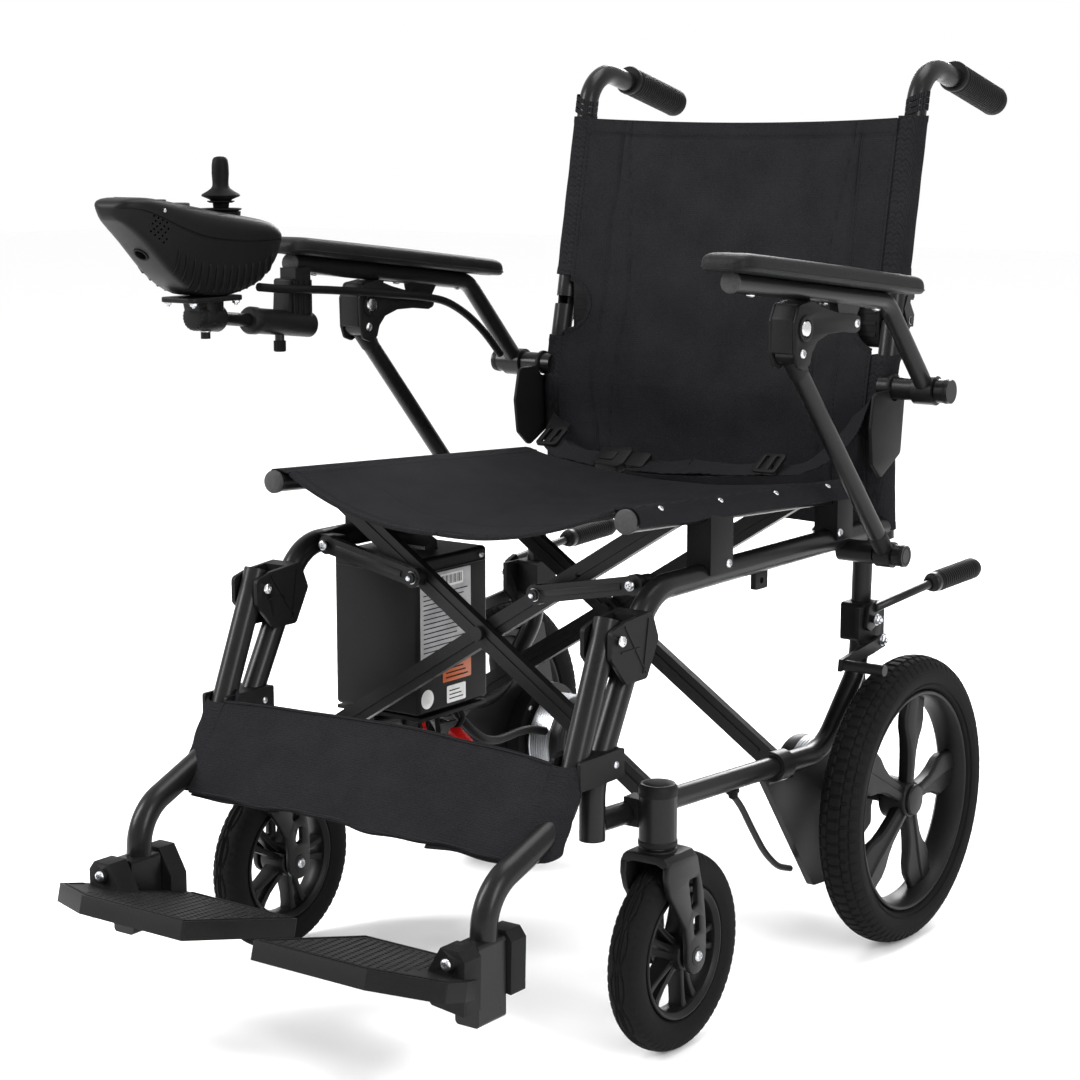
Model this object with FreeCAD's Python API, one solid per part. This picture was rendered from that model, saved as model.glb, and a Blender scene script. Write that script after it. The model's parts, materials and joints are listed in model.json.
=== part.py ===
import FreeCAD, Part
import math
import os
from FreeCAD import Vector as V

# Folding power wheelchair. Millimetres, +Z up, +X to the user's left, the chair faces -Y.
# The parts are laid out from the rear axle (y = 0) and moved by SHIFT_Y on export, so that
# the origin lies on the floor under the middle of the chair.

SHIFT_Y = 242.12

# ---- driving dimensions -------------------------------------------------------------------
FRAME_X = 221.0            # plane of each side frame
TUBE_R = 12.5              # leg, top tube and hanger tubes
LOWER_R = 11.0             # lower side tube, which carries the cross braces
CANE_R = 11.75
ARM_R = 10.0
WALL_GAP = 0.15            # clearance between parts that are screwed together
FIT = 0.06                 # radial clearance of running fits

RAKE = 3.13                # slope of the seat and of the folding axes, down to the rear
LOWER_Z0 = 214.3           # height of the lower pivot line above the axle's y
RAIL_H = 282.0             # seat rail above the lower pivot, square to the rake
FOLD = 33.5                # turn of a brace from open to folded, degrees

REAR_R, REAR_W, REAR_X = 159.0, 46.0, 281.5
RIM_R = 122.0
CASTER_R, CASTER_W, CASTER_X = 98.4, 34.0, 254.5
CASTER_STEM_Y, CASTER_TRAIL = -451.0, 29.3

ARM_X = 276.0
ARM_PIVOT = (42.0, 605.5)
ARM_BEND = (-57.0, 708.0)
ARM_FRONT = (-366.0, 743.0)
PLATE_PIN = (-146.5, 691.0)
STRUT_TOP = (-255.0, 668.0)
STRUT_FOOT = (-42.0, 437.0)
BUTTON = (-251.0, 692.5)

BACK_HINGE = (86.0, 676.0)
HANGER_PIN = (-495.0, 416.0)
FOOT_PIN = (215.0, 164.0)
BRAKE_PIN = (-14.0, 358.0)
SHOE_PIN = (0.0, 333.0)
SHOE_BAR = (-84.0, 320.0)

POD_X = -270.0
POD_PIVOT = (-478.0, 800.0)

HALF_H = RAIL_H / 2
BRACE_L = math.hypot(FRAME_X, HALF_H)
BRACE_ANGLE = math.atan2(HALF_H, FRAME_X)
FRONT_A, FRONT_B = -405.0, -393.0     # front faces of the two front bars, along the rake
REAR_A, REAR_B = -175.0, -163.0
BAR_T, BAR_H = 10.0, 22.0
LINK_X, LINK_Z = 195.0, 213.7         # link pivot on the side frame, in the raked frame
LINK_Y, LINK_T = -420.0, 9.0


def link_reach():
    """Distance of the link's pin from the brace centre that suits both the open and folded chair."""
    offset = FRAME_X - LINK_X
    fold = BRACE_ANGLE + math.radians(FOLD)
    dc = math.cos(fold) - math.cos(BRACE_ANGLE)
    du = math.sin(fold) - math.sin(BRACE_ANGLE)
    du2 = math.sin(fold) ** 2 - math.sin(BRACE_ANGLE) ** 2
    top = 2 * offset * BRACE_L * dc + 2 * LINK_Z * BRACE_L * du
    return top / (2 * offset * dc + 4 * BRACE_L * du2 - 2 * LINK_Z * du)


LINK_S = link_reach()


# ---- helpers ------------------------------------------------------------------------------
def box(x0, x1, y0, y1, z0, z1):
    return Part.makeBox(x1 - x0, y1 - y0, z1 - z0, V(x0, y0, z0))


def rod(p, q, r):
    p, q = V(*p), V(*q)
    return Part.makeCylinder(r, (q - p).Length, p, q - p)


def xrod(x0, x1, yz, r):
    return rod((x0, yz[0], yz[1]), (x1, yz[0], yz[1]), r)


def slab_yz(points, x0, x1):
    """Prism with its outline in a YZ plane."""
    wire = Part.makePolygon([V(x0, y, z) for y, z in points + points[:1]])
    return Part.Face(wire).extrude(V(x1 - x0, 0, 0))


def slab_xz(points, y0, y1):
    wire = Part.makePolygon([V(x, y0, z) for x, z in points + points[:1]])
    return Part.Face(wire).extrude(V(0, y1 - y0, 0))


def slab_xy(points, z0, z1):
    wire = Part.makePolygon([V(x, y, z0) for x, y in points + points[:1]])
    return Part.Face(wire).extrude(V(0, 0, z1 - z0))


def soften(shape, r, direction=None):
    """Round the straight edges, or only those along one direction."""
    edges = []
    for edge in shape.Edges:
        if edge.Curve.TypeId != "Part::GeomLine":
            continue
        along = edge.tangentAt(edge.FirstParameter)
        if direction is None or abs(along.dot(V(*direction))) > 0.999:
            edges.append(edge)
    return shape.makeFillet(r, edges)


def path_wire(points, radii):
    """Straight runs joined by tangent arcs; one radius for each inner point."""
    pts = [V(*p) for p in points]
    edges = []
    start = pts[0]
    for i in range(1, len(pts) - 1):
        before = (pts[i - 1] - pts[i]).normalize()
        after = (pts[i + 1] - pts[i]).normalize()
        turn = math.pi - before.getAngle(after)
        reach = radii[i - 1] * math.tan(turn / 2)
        a = pts[i] + before * reach
        b = pts[i] + after * reach
        inward = (before + after).normalize()
        mid = pts[i] + inward * (radii[i - 1] / math.cos(turn / 2) - radii[i - 1])
        edges.append(Part.LineSegment(start, a).toShape())
        edges.append(Part.Arc(a, mid, b).toShape())
        start = b
    edges.append(Part.LineSegment(start, pts[-1]).toShape())
    return Part.Wire(edges)


def tube(points, radii, r):
    """Round bar along a path, checked against its section times its length."""
    wire = path_wire(points, radii)
    direction = V(*points[1]) - V(*points[0])
    profile = Part.Wire(Part.makeCircle(r, V(*points[0]), direction))
    solid = wire.makePipeShell([profile], True, False)
    expected = math.pi * r * r * wire.Length
    if not solid.isValid() or abs(solid.Volume / expected - 1) > 0.01:
        raise ValueError("tube does not match its path")
    return solid


def cord(points, r):
    """A cable held along its route; every arc is as large as its two runs allow."""
    pts = [V(*p) for p in points]
    radii = []
    for i in range(1, len(pts) - 1):
        before, after = pts[i - 1] - pts[i], pts[i + 1] - pts[i]
        turn = math.pi - before.getAngle(after)
        radii.append(0.45 * min(before.Length, after.Length) / math.tan(turn / 2))
    print("cable arc radii:", [round(x) for x in radii])
    return tube(points, radii, r)


def flat_yz(points, x):
    return [(x, y, z) for y, z in points]


def rake(shape):
    """From the raked frame, where Y runs along the folding axes, to the chair's frame."""
    out = shape.copy()
    out.rotate(V(0, 0, 0), V(1, 0, 0), -RAKE)
    out.translate(V(0, 0, LOWER_Z0))
    return out


def raked_point(x, y, n):
    a = math.radians(RAKE)
    return (x, y * math.cos(a) + n * math.sin(a), LOWER_Z0 - y * math.sin(a) + n * math.cos(a))


def mirror(shape):
    return shape.mirror(V(0, 0, 0), V(1, 0, 0))


def group(*shapes):
    return Part.makeCompound(list(shapes))


NODES = {}


def add(name, shape):
    NODES[name] = shape


def add_pair(name, shape, right=None):
    add("left_" + name, shape)
    add("right_" + name, mirror(shape) if right is None else right)


# ---- side frame ---------------------------------------------------------------------------
LEG_PATH = [(-512.5, 226.0), (-512.5, 281.0), (-420.7, 450.0), (56.0, 450.0)]
LEG_BENDS = [60.0, 55.0]
POST_TOP = (10.0, 450.0)
HANGER_PATH = [(FRAME_X, -489, 434), (FRAME_X, -497, 412), (FRAME_X, -562, 256),
               (FOOT_PIN[0] + 0.5, -672, 214), (FOOT_PIN[0], -679, 100)]
HANGER_BENDS = [300.0, 55.0, 50.0]
CANE_PATH = [(56.0, 436.0), (46.0, 587.0), (65.0, 675.5)]


def lower_z(y):
    return LOWER_Z0 - math.tan(math.radians(RAKE)) * y


def leg_tube(r):
    return tube(flat_yz(LEG_PATH, FRAME_X), LEG_BENDS, r)


def lower_tube(r):
    path = [(-505.0, lower_z(-505.0)), (-75.0, lower_z(-75.0)), (4.0, 300.0), POST_TOP]
    return tube(flat_yz(path, FRAME_X), [70.0, 60.0], r)


def cane_tube(r):
    return tube(flat_yz(CANE_PATH, FRAME_X), [90.0], r)


def caster_housing():
    body = rod((CASTER_X, CASTER_STEM_Y, 212), (CASTER_X, CASTER_STEM_Y, 268), 18.3)
    cap = rod((CASTER_X, CASTER_STEM_Y, 267), (CASTER_X, CASTER_STEM_Y, 273), 16.5)
    web = box(FRAME_X, CASTER_X, CASTER_STEM_Y - 9, CASTER_STEM_Y + 9, 228, 256)
    return body.fuse([cap, web]), rod((CASTER_X, CASTER_STEM_Y, 200), (CASTER_X, CASTER_STEM_Y, 262), 8 + FIT)


def axle_plate():
    outline = [(-206, 222), (-92, 72), (-46, 68), (38, 112), (38, 196), (14, 296), (-8, 296), (-75, 216)]
    plate = soften(slab_yz(outline, 215.5, 223.5), 6, (1, 0, 0))
    sleeve_room = rake(rod((FRAME_X, -190, 0), (FRAME_X, -140, 0), 17.5))
    return plate.cut(sleeve_room)


def side_frame():
    housing, stem_bore = caster_housing()
    stub = xrod(FRAME_X, 262, ARM_PIVOT, 12.5)
    stub_pin = xrod(262, 292, ARM_PIVOT, 8)
    stub_cap = xrod(290.5, 306, ARM_PIVOT, 13)
    foot = xrod(FRAME_X, 264, STRUT_FOOT, 12)
    foot_pin = xrod(264, 288, STRUT_FOOT, 7)
    foot_cap = xrod(287.5, 300, STRUT_FOOT, 11.5)
    lug = slab_yz([(60, 640), (82, 662), (92, 668), (94, 678), (84, 684), (64, 672)], 216.5, 225.5)
    frame = leg_tube(TUBE_R).fuse([lower_tube(LOWER_R), cane_tube(CANE_R), housing, axle_plate(),
                                   stub, stub_pin, stub_cap, foot, foot_pin, foot_cap, lug])
    frame = frame.cut(stem_bore)
    frame = frame.cut(xrod(210, 232, (0, 159), 8.5))
    return frame.cut(xrod(210, 232, BACK_HINGE, 4 + FIT)).removeSplitter()


def saddle(y0, y1):
    """Cradle on the top tube that the seat rail drops into."""
    top = raked_point(FRAME_X, y1, RAIL_H)[2] + 3
    block = box(FRAME_X - 14, FRAME_X + 14, y0, y1, 452, top)
    slot = rake(rod((FRAME_X, -470, RAIL_H), (FRAME_X, 0, RAIL_H), 11.6))
    above = rake(box(FRAME_X - 11.6, FRAME_X + 11.6, -470, 0, RAIL_H, RAIL_H + 40))
    return block.cut(slot).cut(above)


def hanger_bracket():
    """Two cheeks that carry the leg rest's hinge pin, clamped on the leg."""
    outline = [(-508, 400), (-482, 372), (-448, 372), (-428, 408), (-440, 436), (-486, 432), (-508, 426)]
    block = soften(slab_yz(outline, FRAME_X - 18, FRAME_X + 18), 6, (1, 0, 0))
    room = tube([(FRAME_X, -477, 470), (FRAME_X, -497, 416), (FRAME_X, -520, 354)], [200], TUBE_R + 1.2)
    slot = box(FRAME_X - 13.2, FRAME_X + 13.2, -530, -460, 360, 450)
    pin = xrod(FRAME_X - 21, FRAME_X + 21, HANGER_PIN, 4)
    return block.cut(room).cut(slot).fuse(pin)


def hanger_clip():
    """Lower catch: a collar on the leg with a fork that the leg rest snaps into."""
    block = box(FRAME_X - 17, FRAME_X + 17, -556, -484, 284, 312)
    room = tube(HANGER_PATH, HANGER_BENDS, TUBE_R + 0.6)
    front = slab_yz([(-600, 270), (-556, 270), (-536, 318), (-600, 318)], FRAME_X - 13.1, FRAME_X + 13.1)
    return soften(block, 3, (1, 0, 0)).cut(room).cut(front)


def brake_mount():
    clamp = box(206, 240, -12, 26, 330, 372)
    plate = slab_yz([(-34, 372), (-34, 338), (-12, 318), (14, 322), (20, 372)], 236, 241)
    pins = [xrod(240, 252, BRAKE_PIN, 4), xrod(240, 252, SHOE_PIN, 4)]
    return soften(clamp, 4, (1, 0, 0)).fuse([plate] + pins)


def brackets(frame_room):
    hook = soften(box(FRAME_X - 3, FRAME_X + 3, -225, -201, 420, 452), 2.5, (1, 0, 0))
    hook = hook.cut(xrod(FRAME_X - 5, FRAME_X + 5, (-213, 429), 3.5))
    link_lug = rake(rod((LINK_X, LINK_Y + LINK_T + 0.6, LINK_Z), (LINK_X, LINK_Y + LINK_T + 19, LINK_Z), 9))
    link_arm = rake(box(LINK_X, FRAME_X, LINK_Y + LINK_T + 0.6, LINK_Y + LINK_T + 19,
                        LINK_Z - 9, LINK_Z + 9))
    link_pin = rake(rod((LINK_X, LINK_Y - 5, LINK_Z), (LINK_X, LINK_Y + LINK_T + 3, LINK_Z), 4))
    parts = [saddle(-330, -288), saddle(-76, -42), hanger_bracket(), hanger_clip(), brake_mount(),
             hook, link_lug.fuse([link_arm, link_pin])]
    return [part.cut(frame_room) for part in parts]


def battery_tray():
    tray = box(-236, -117, -346, -231, 255.5, 259.5)
    arms = [box(-236, -206, y, y + 16, 222, 257) for y in (-335.0, -262.0)]
    return tray.fuse(arms)


def side_guard(frame_room):
    outline = [(-8, 604), (-15, 566), (-10, 528), (12, 510), (62, 536), (62, 600)]
    plate = soften(slab_yz(outline, 235, 238), 9, (1, 0, 0))
    return plate.cut(xrod(230, 262, ARM_PIVOT, 13.5)).cut(frame_room)


def motor():
    gearbox = xrod(196, 214.5, (0, 159), 64)
    can = soften_ends(xrod(142, 196.5, (0, 159), 52), 5)
    shaft = xrod(214, 296, (0, 159), 8)
    body = gearbox.fuse([can, shaft])
    lead = cord([(210, -120, 96), (212, -150, 106), (214, -182, 130), (216, -212, 164),
                 (217, -236, 194), (218, -256, 211.5)], 3.5)
    return group(body, lead)


def soften_ends(cylinder, r):
    rims = [e for e in cylinder.Edges if e.Curve.TypeId == "Part::GeomCircle"]
    return cylinder.makeFillet(r, rims)


def side_frames():
    frame = side_frame()
    room = leg_tube(TUBE_R + WALL_GAP).fuse([lower_tube(LOWER_R + WALL_GAP), cane_tube(CANE_R + WALL_GAP)])
    room = room.fuse(xrod(FRAME_X, 264, STRUT_FOOT, 12 + WALL_GAP))
    add_pair("side_frame", frame)
    left = brackets(room)
    right = [mirror(part) for part in left] + [battery_tray().cut(mirror(room))]
    add_pair("brackets", group(*left), group(*right))
    add_pair("side_guard", side_guard(room))
    add_pair("motor", motor())


# ---- folding cross braces -----------------------------------------------------------------
def brace_bar(y0, pivot_hole, extra_hole=0):
    """One bar of brace A, from the left lower tube up to the right seat rail, raked frame."""
    length = 2 * BRACE_L
    bar = box(-length / 2, length / 2, y0, y0 + BAR_T, -BAR_H / 2, BAR_H / 2)
    rib = box(-length / 2 + 20, length / 2 - 24, y0 - 1.5, y0 + 1, -2, 2)
    bar = bar.fuse(rib)
    if pivot_hole:
        bar = bar.cut(rod((0, y0 - 5, 0), (0, y0 + BAR_T + 5, 0), 4 + FIT))
    if extra_hole:
        bar = bar.cut(rod((-extra_hole, y0 - 5, 0), (-extra_hole, y0 + BAR_T + 5, 0), 3))
    bar.rotate(V(0, 0, 0), V(0, 1, 0), math.degrees(BRACE_ANGLE))
    bar.translate(V(0, 0, HALF_H))
    sleeve = rod((FRAME_X, y0 - 7, 0), (FRAME_X, y0 + BAR_T + 7, 0), 16)
    bar = bar.fuse(sleeve)
    bar = bar.cut(rod((FRAME_X, y0 - 20, 0), (FRAME_X, y0 + 40, 0), LOWER_R + 0.3))
    bar = bar.cut(rod((-FRAME_X, y0 - 20, RAIL_H), (-FRAME_X, y0 + 40, RAIL_H), 11 + WALL_GAP))
    return bar.cut(box(-300, -200, y0 - 20, y0 + 40, RAIL_H + 2, RAIL_H + 60))


def main_solid(shape):
    return max(shape.Solids, key=lambda s: s.Volume)


def boss(y0, y1, x_sign):
    """Stand-off on a brace behind the end of the link arm."""
    x = x_sign * LINK_S * math.cos(BRACE_ANGLE)
    n = HALF_H + LINK_S * math.sin(BRACE_ANGLE)
    return rod((x, y0, n), (x, y1, n), 7)


def cross_braces():
    bars_a = [main_solid(brace_bar(y, True)) for y in (FRONT_A, REAR_A)]
    bars_b = [main_solid(mirror(brace_bar(y, False, 133))) for y in (FRONT_B, REAR_B)]
    bars_a[0] = bars_a[0].fuse(boss(LINK_Y + LINK_T + 0.6, FRONT_A + 2, -1))
    bars_b[0] = bars_b[0].fuse(boss(LINK_Y + LINK_T + 0.6, FRONT_B + 2, 1))
    for i, (y_a, y_b) in enumerate(((FRONT_A, FRONT_B), (REAR_A, REAR_B))):
        pin = rod((0, y_a - 2.4, HALF_H), (0, y_b + BAR_T, HALF_H), 4)
        head = rod((0, y_a - 6.4, HALF_H), (0, y_a - 2, HALF_H), 7.5)
        bars_b[i] = bars_b[i].fuse([pin, head])
    add("brace_a", rake(group(*bars_a)))
    add("brace_b", rake(group(*bars_b)))


def seat_rail():
    bar = rod((FRAME_X, -474, RAIL_H), (FRAME_X, -24, RAIL_H), 11)
    cap = soften_ends(rod((FRAME_X, -476, RAIL_H), (FRAME_X, -470, RAIL_H), 11.9), 1.5)
    return rake(bar.fuse(cap))


def link_arm():
    x1 = LINK_S * math.cos(BRACE_ANGLE)
    n1 = HALF_H + LINK_S * math.sin(BRACE_ANGLE)
    length = math.hypot(LINK_X - x1, LINK_Z - n1)
    angle = math.degrees(math.atan2(LINK_Z - n1, LINK_X - x1))
    bar = box(0, length, LINK_Y, LINK_Y + LINK_T, -9, 9)
    rib = box(14, length - 14, LINK_Y - 2, LINK_Y + 1, -3, 3)
    eyes = [rod((x, LINK_Y, 0), (x, LINK_Y + LINK_T, 0), 10.5) for x in (0, length)]
    head = rod((0, LINK_Y - 5, 0), (0, LINK_Y + 1, 0), 6)
    arm = bar.fuse([rib, head] + eyes).cut(rod((length, LINK_Y - 5, 0), (length, LINK_Y + 20, 0), 4 + FIT))
    arm.rotate(V(0, 0, 0), V(0, 1, 0), -angle)
    arm.translate(V(x1, 0, n1))
    return rake(arm)


def folding_parts():
    cross_braces()
    add_pair("seat_rail", seat_rail())
    add_pair("link_arm", link_arm())
    add("seat_sling", rake(box(-207.5, 207.5, -462, -34, RAIL_H + 6, RAIL_H + 11)))


# ---- wheels -------------------------------------------------------------------------------
def revolved(profile, x, yz):
    """Solid of revolution about X; profile is (offset from x, radius)."""
    pts = [V(x + dx, 0, r) for dx, r in profile]
    face = Part.Face(Part.makePolygon(pts + pts[:1]))
    solid = face.revolve(V(0, 0, 0), V(1, 0, 0), 360)
    solid.translate(V(0, yz[0], yz[1]))
    return solid


def tyre_profile(half, outer, inner):
    """Rounded tread with straight side walls down to the bead."""
    points = [(-half * 0.62, inner), (-half, inner + 7)]
    for i in range(9):
        a = math.pi * i / 8
        points.append((-half * math.cos(a), outer - half * 0.62 + half * 0.62 * math.sin(a)))
    return points + [(half, inner + 7), (half * 0.62, inner)]


def rear_rim():
    yz = (0, REAR_R)
    bead = revolved([(-14, RIM_R - 12), (14, RIM_R - 12), (14, RIM_R - 0.3), (-14, RIM_R - 0.3)], REAR_X, yz)
    hub = xrod(262, 299, yz, 27)
    cap = xrod(298, 303, yz, 19)
    spokes = []
    for i in range(5):
        spoke = box(REAR_X - 2, REAR_X + 16, yz[0] - 13, yz[0] + 13, yz[1] + 20, yz[1] + RIM_R - 6)
        spoke.rotate(V(0, yz[0], yz[1]), V(1, 0, 0), 72 * i)
        spokes.append(spoke)
    rim = bead.fuse([hub, cap] + spokes)
    return rim.cut(xrod(255, 296.5, yz, 8 + FIT))


def caster_rim(x, yz):
    bead = revolved([(-11, 56), (11, 56), (11, 65.7), (-11, 65.7)], x, yz)
    hub = xrod(x - 17.5, x + 17.5, yz, 17)
    spokes = []
    for i in range(3):
        spoke = box(x - 7, x + 7, yz[0] - 11, yz[0] + 11, yz[1] + 12, yz[1] + 60)
        spoke.rotate(V(x, yz[0], yz[1]), V(1, 0, 0), 120 * i + 30)
        spokes.append(spoke)
    return bead.fuse([hub] + spokes).cut(xrod(x - 20, x + 20, yz, 5 + FIT))


def caster_fork(x, yz):
    stem_y = CASTER_STEM_Y
    stem = rod((x, stem_y, 198), (x, stem_y, 261), 8)
    crown = rod((x, stem_y, 201), (x, stem_y, 208.5), 19)
    bridge = soften(box(x - 28, x + 28, stem_y - 22, stem_y + 26, 199.5, 206), 5, (0, 0, 1))
    parts = [stem, crown, bridge]
    outline = [(stem_y - 21, 205), (stem_y + 24, 205), (yz[0] + 17, 112), (yz[0] + 13, 86),
               (yz[0] - 4, 82), (yz[0] - 17, 92), (yz[0] - 17, 112)]
    for side in (-1, 1):
        inner, outer = sorted((x + side * 20.5, x + side * 28))
        leg = soften(slab_yz(outline, inner, outer), 6, (1, 0, 0))
        window = slab_yz([(yz[0] - 25, 178), (yz[0] + 4, 178), (yz[0] - 1, 144), (yz[0] - 20, 144)],
                         inner - 1, outer + 1)
        parts.append(leg.cut(window))
        parts.append(xrod(*sorted((x + side * 20, x + side * 33)), yz, 6.5))
    axle = xrod(x - 30, x + 30, yz, 5)
    return stem.fuse(parts[1:] + [axle])


def wheels():
    rear = (0, REAR_R)
    add_pair("rear_rim", rear_rim())
    add_pair("rear_tyre", revolved(tyre_profile(REAR_W / 2, REAR_R, RIM_R), REAR_X, rear))
    caster = (CASTER_STEM_Y + CASTER_TRAIL, CASTER_R)
    add_pair("caster_fork", caster_fork(CASTER_X, caster))
    add_pair("caster_rim", caster_rim(CASTER_X, caster))
    add_pair("caster_tyre", revolved(tyre_profile(CASTER_W / 2, CASTER_R, 66), CASTER_X, caster))


# ---- leg rests ----------------------------------------------------------------------------
def hanger():
    bar = tube(HANGER_PATH, HANGER_BENDS, TUBE_R)
    block = soften(box(FOOT_PIN[0] - 13.5, FOOT_PIN[0] + 13.5, -698.5, -658.5, 98, 174), 4, (0, 1, 0))
    leg = bar.fuse(block).cut(rod((FOOT_PIN[0], -720, FOOT_PIN[1]), (FOOT_PIN[0], -640, FOOT_PIN[1]), 4 + FIT))
    return leg.cut(xrod(200, 242, HANGER_PIN, 4 + FIT))


def footplate():
    outline = [(42, -789), (176, -789), (240, -757), (240, -727), (232, -701), (196, -701),
               (196, -645), (214, -645), (214, -636), (182, -628), (42, -628)]
    plate = soften(slab_xy(outline, -18, 0), 3, (0, 0, 1))
    plate.translate(V(0, 789, 0))
    plate.rotate(V(0, 0, 0), V(1, 0, 0), -14.3)
    plate.translate(V(0, -789, 169))
    lug = [(196, 122), (232, 118), (233, 168), (226, 177), (206, 177), (190, 150), (190, 128)]
    lugs = [slab_xz(lug, -725, -701), slab_xz(lug, -656, -634)]
    pin = rod((FOOT_PIN[0], -729, FOOT_PIN[1]), (FOOT_PIN[0], -631, FOOT_PIN[1]), 4)
    heads = [rod((FOOT_PIN[0], y, FOOT_PIN[1]), (FOOT_PIN[0], y + 3, FOOT_PIN[1]), 7) for y in (-728, -634)]
    return plate.fuse(lugs + [pin] + heads)


def leg_rests():
    add_pair("hanger", hanger())
    add_pair("footplate", footplate())
    outline = [(-560, 306), (-620, 222), (-613, 217), (-552, 302)]
    add("calf_strap", slab_yz(outline, -203, 203))


# ---- armrests -----------------------------------------------------------------------------
def arm_axis_z(y):
    slope = (ARM_FRONT[1] - ARM_BEND[1]) / (ARM_FRONT[0] - ARM_BEND[0])
    return ARM_BEND[1] + slope * (y - ARM_BEND[0])


def arm_bar(r):
    path = flat_yz([ARM_PIVOT, ARM_BEND, ARM_FRONT], ARM_X)
    return tube(path, [42], r)


def arm_tube():
    sleeve = xrod(264, 288.5, ARM_PIVOT, 16)
    tab = slab_yz([(-170, arm_axis_z(-170) - 4), (-160, 684), (-146, 681), (-134, 690),
                   (-118, arm_axis_z(-118) - 4)], ARM_X - 5, ARM_X + 5)
    arm = arm_bar(ARM_R).fuse([sleeve, tab])
    arm = arm.cut(xrod(260, 292, ARM_PIVOT, 8 + FIT))
    return arm.cut(xrod(260, 292, PLATE_PIN, 3 + FIT))


def arm_pad():
    front, rear = -386.0, -18.0
    outline = [(front, arm_axis_z(front) + 9), (rear, arm_axis_z(rear) + 9),
               (rear, arm_axis_z(rear) + 28), (front, arm_axis_z(front) + 28)]
    pad = soften(slab_yz(outline, ARM_X - 29, ARM_X + 29), 6)
    return pad.cut(arm_bar(ARM_R + WALL_GAP)).cut(box(240, 320, rear - 60, rear + 40, 640, arm_axis_z(rear) + 9))


def arm_plate():
    outline = [(-142, 683), (-140, 697), (-150, 699), (-205, 706), (-236, 713), (-266, 708), (-270, 664),
               (-262, 655), (-248, 655), (-238, 672), (-200, 682)]
    cheeks = []
    for x0 in (ARM_X - 15, ARM_X + 12):
        cheek = soften(slab_yz(outline, x0, x0 + 3), 3, (1, 0, 0))
        cheeks.append(cheek.cut(xrod(x0 - 1, x0 + 4, BUTTON, 8.4)))
    pin = xrod(ARM_X - 16, ARM_X + 16, PLATE_PIN, 3)
    spacer = xrod(ARM_X - 13, ARM_X + 13, (-205, 694), 4)
    bolt = xrod(ARM_X + 13, ARM_X + 18.5, STRUT_TOP, 5)
    inner_bolt = xrod(ARM_X - 18.5, ARM_X - 13, STRUT_TOP, 5)
    return cheeks[0].fuse([cheeks[1], pin, spacer, bolt, inner_bolt])


def arm_strut():
    top, foot = (ARM_X,) + STRUT_TOP, (ARM_X,) + STRUT_FOOT
    bar = rod(top, foot, 9.5)
    knuckle = xrod(ARM_X - 10, ARM_X + 10, STRUT_TOP, 10.5)
    eye = xrod(267, 285.5, STRUT_FOOT, 14)
    return bar.fuse([knuckle, eye]).cut(xrod(260, 290, STRUT_FOOT, 7 + FIT))


def pod_clamp():
    """Split clamp under the right armrest that the controller's rod slides in."""
    p, q = rod_point(-345), rod_point(-440)
    barrel = rod(p, q, 13)
    z = arm_axis_z(-360)
    post = box(-ARM_X - 8, -ARM_X + 14, -374, -350, rod_point(-362)[2] + 6, z - 4)
    knob = rod((POD_X, -392, rod_point(-392)[2] - 30), (POD_X, -392, rod_point(-392)[2] - 10), 5)
    bore = rod(rod_point(-330), rod_point(-460), 7 + FIT)
    return barrel.fuse([post, knob]).cut(bore)


def rod_point(y):
    """Axis of the controller's rod, parallel to the armrest."""
    return (POD_X, y, 676 - 0.1132 * (y + 345))


def armrests():
    left_tube = arm_tube()
    right_tube = mirror(left_tube).fuse(pod_clamp())
    add_pair("arm_tube", left_tube, right_tube)
    add_pair("arm_pad", arm_pad())
    add_pair("arm_plate", arm_plate())
    add_pair("arm_strut", arm_strut())
    add_pair("arm_button", soften_ends(xrod(ARM_X + 9, ARM_X + 18, BUTTON, 8), 1.5))


# ---- brake, back and belt -----------------------------------------------------------------
def brake_lever():
    y, z = BRAKE_PIN
    plate = slab_yz([(y - 12, z - 8), (y - 4, z - 13), (y + 10, z - 8), (y + 16, z + 8), (y + 8, z + 20),
                     (y - 8, z + 14)], 241.6, 247)
    bar = rod((247.5, y + 4, z + 12), (252, 118, 379), 5)
    knob = soften_ends(rod((252, 114, 379), (255, 212, 382), 11), 4)
    return plate.cut(xrod(238, 252, BRAKE_PIN, 4 + FIT)).fuse([bar, knob])


def brake_shoe():
    y, z = SHOE_PIN
    arm = slab_yz([(y + 8, z - 8), (y + 8, z + 6), (y - 20, z + 2), (-90, 327), (-92, 314), (-20, z - 12)],
                  247.6, 252)
    bar = xrod(248, 300, SHOE_BAR, 6)
    return arm.cut(xrod(240, 255, SHOE_PIN, 4 + FIT)).fuse(bar)


def upper_cane():
    hinge_y, hinge_z = BACK_HINGE
    path = flat_yz([(67, 685), (120.5, 960), (303, 913.5)], FRAME_X - 1)
    bar = tube(path, [46], CANE_R)
    lugs = []
    for x0 in (209.5, 226.1):
        lugs.append(slab_yz([(70, 690), (hinge_y - 5, hinge_z - 7), (hinge_y + 6, hinge_z - 7),
                             (hinge_y + 8, hinge_z + 6), (78, 704)], x0, x0 + 6.4))
    pin = xrod(208, 234, BACK_HINGE, 4)
    lever_pin = xrod(211, 231, (94, 702), 2.5)
    ears = [slab_yz([(72, 700), (94, 698), (97, 706), (74, 716)], x0, x0 + 4) for x0 in (211.2, 227)]
    grip = soften_ends(rod((FRAME_X - 1, 196, 943.6), (FRAME_X - 1, 306, 915.6), 16), 4)
    return bar.fuse(lugs + ears + [pin, lever_pin, grip])


def release_lever():
    bar = soften(box(216.5, 225.8, 89.5, 97.5, 694, 734), 2.5, (1, 0, 0))
    return bar.cut(xrod(210, 232, (94, 702), 2.5 + FIT))


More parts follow.
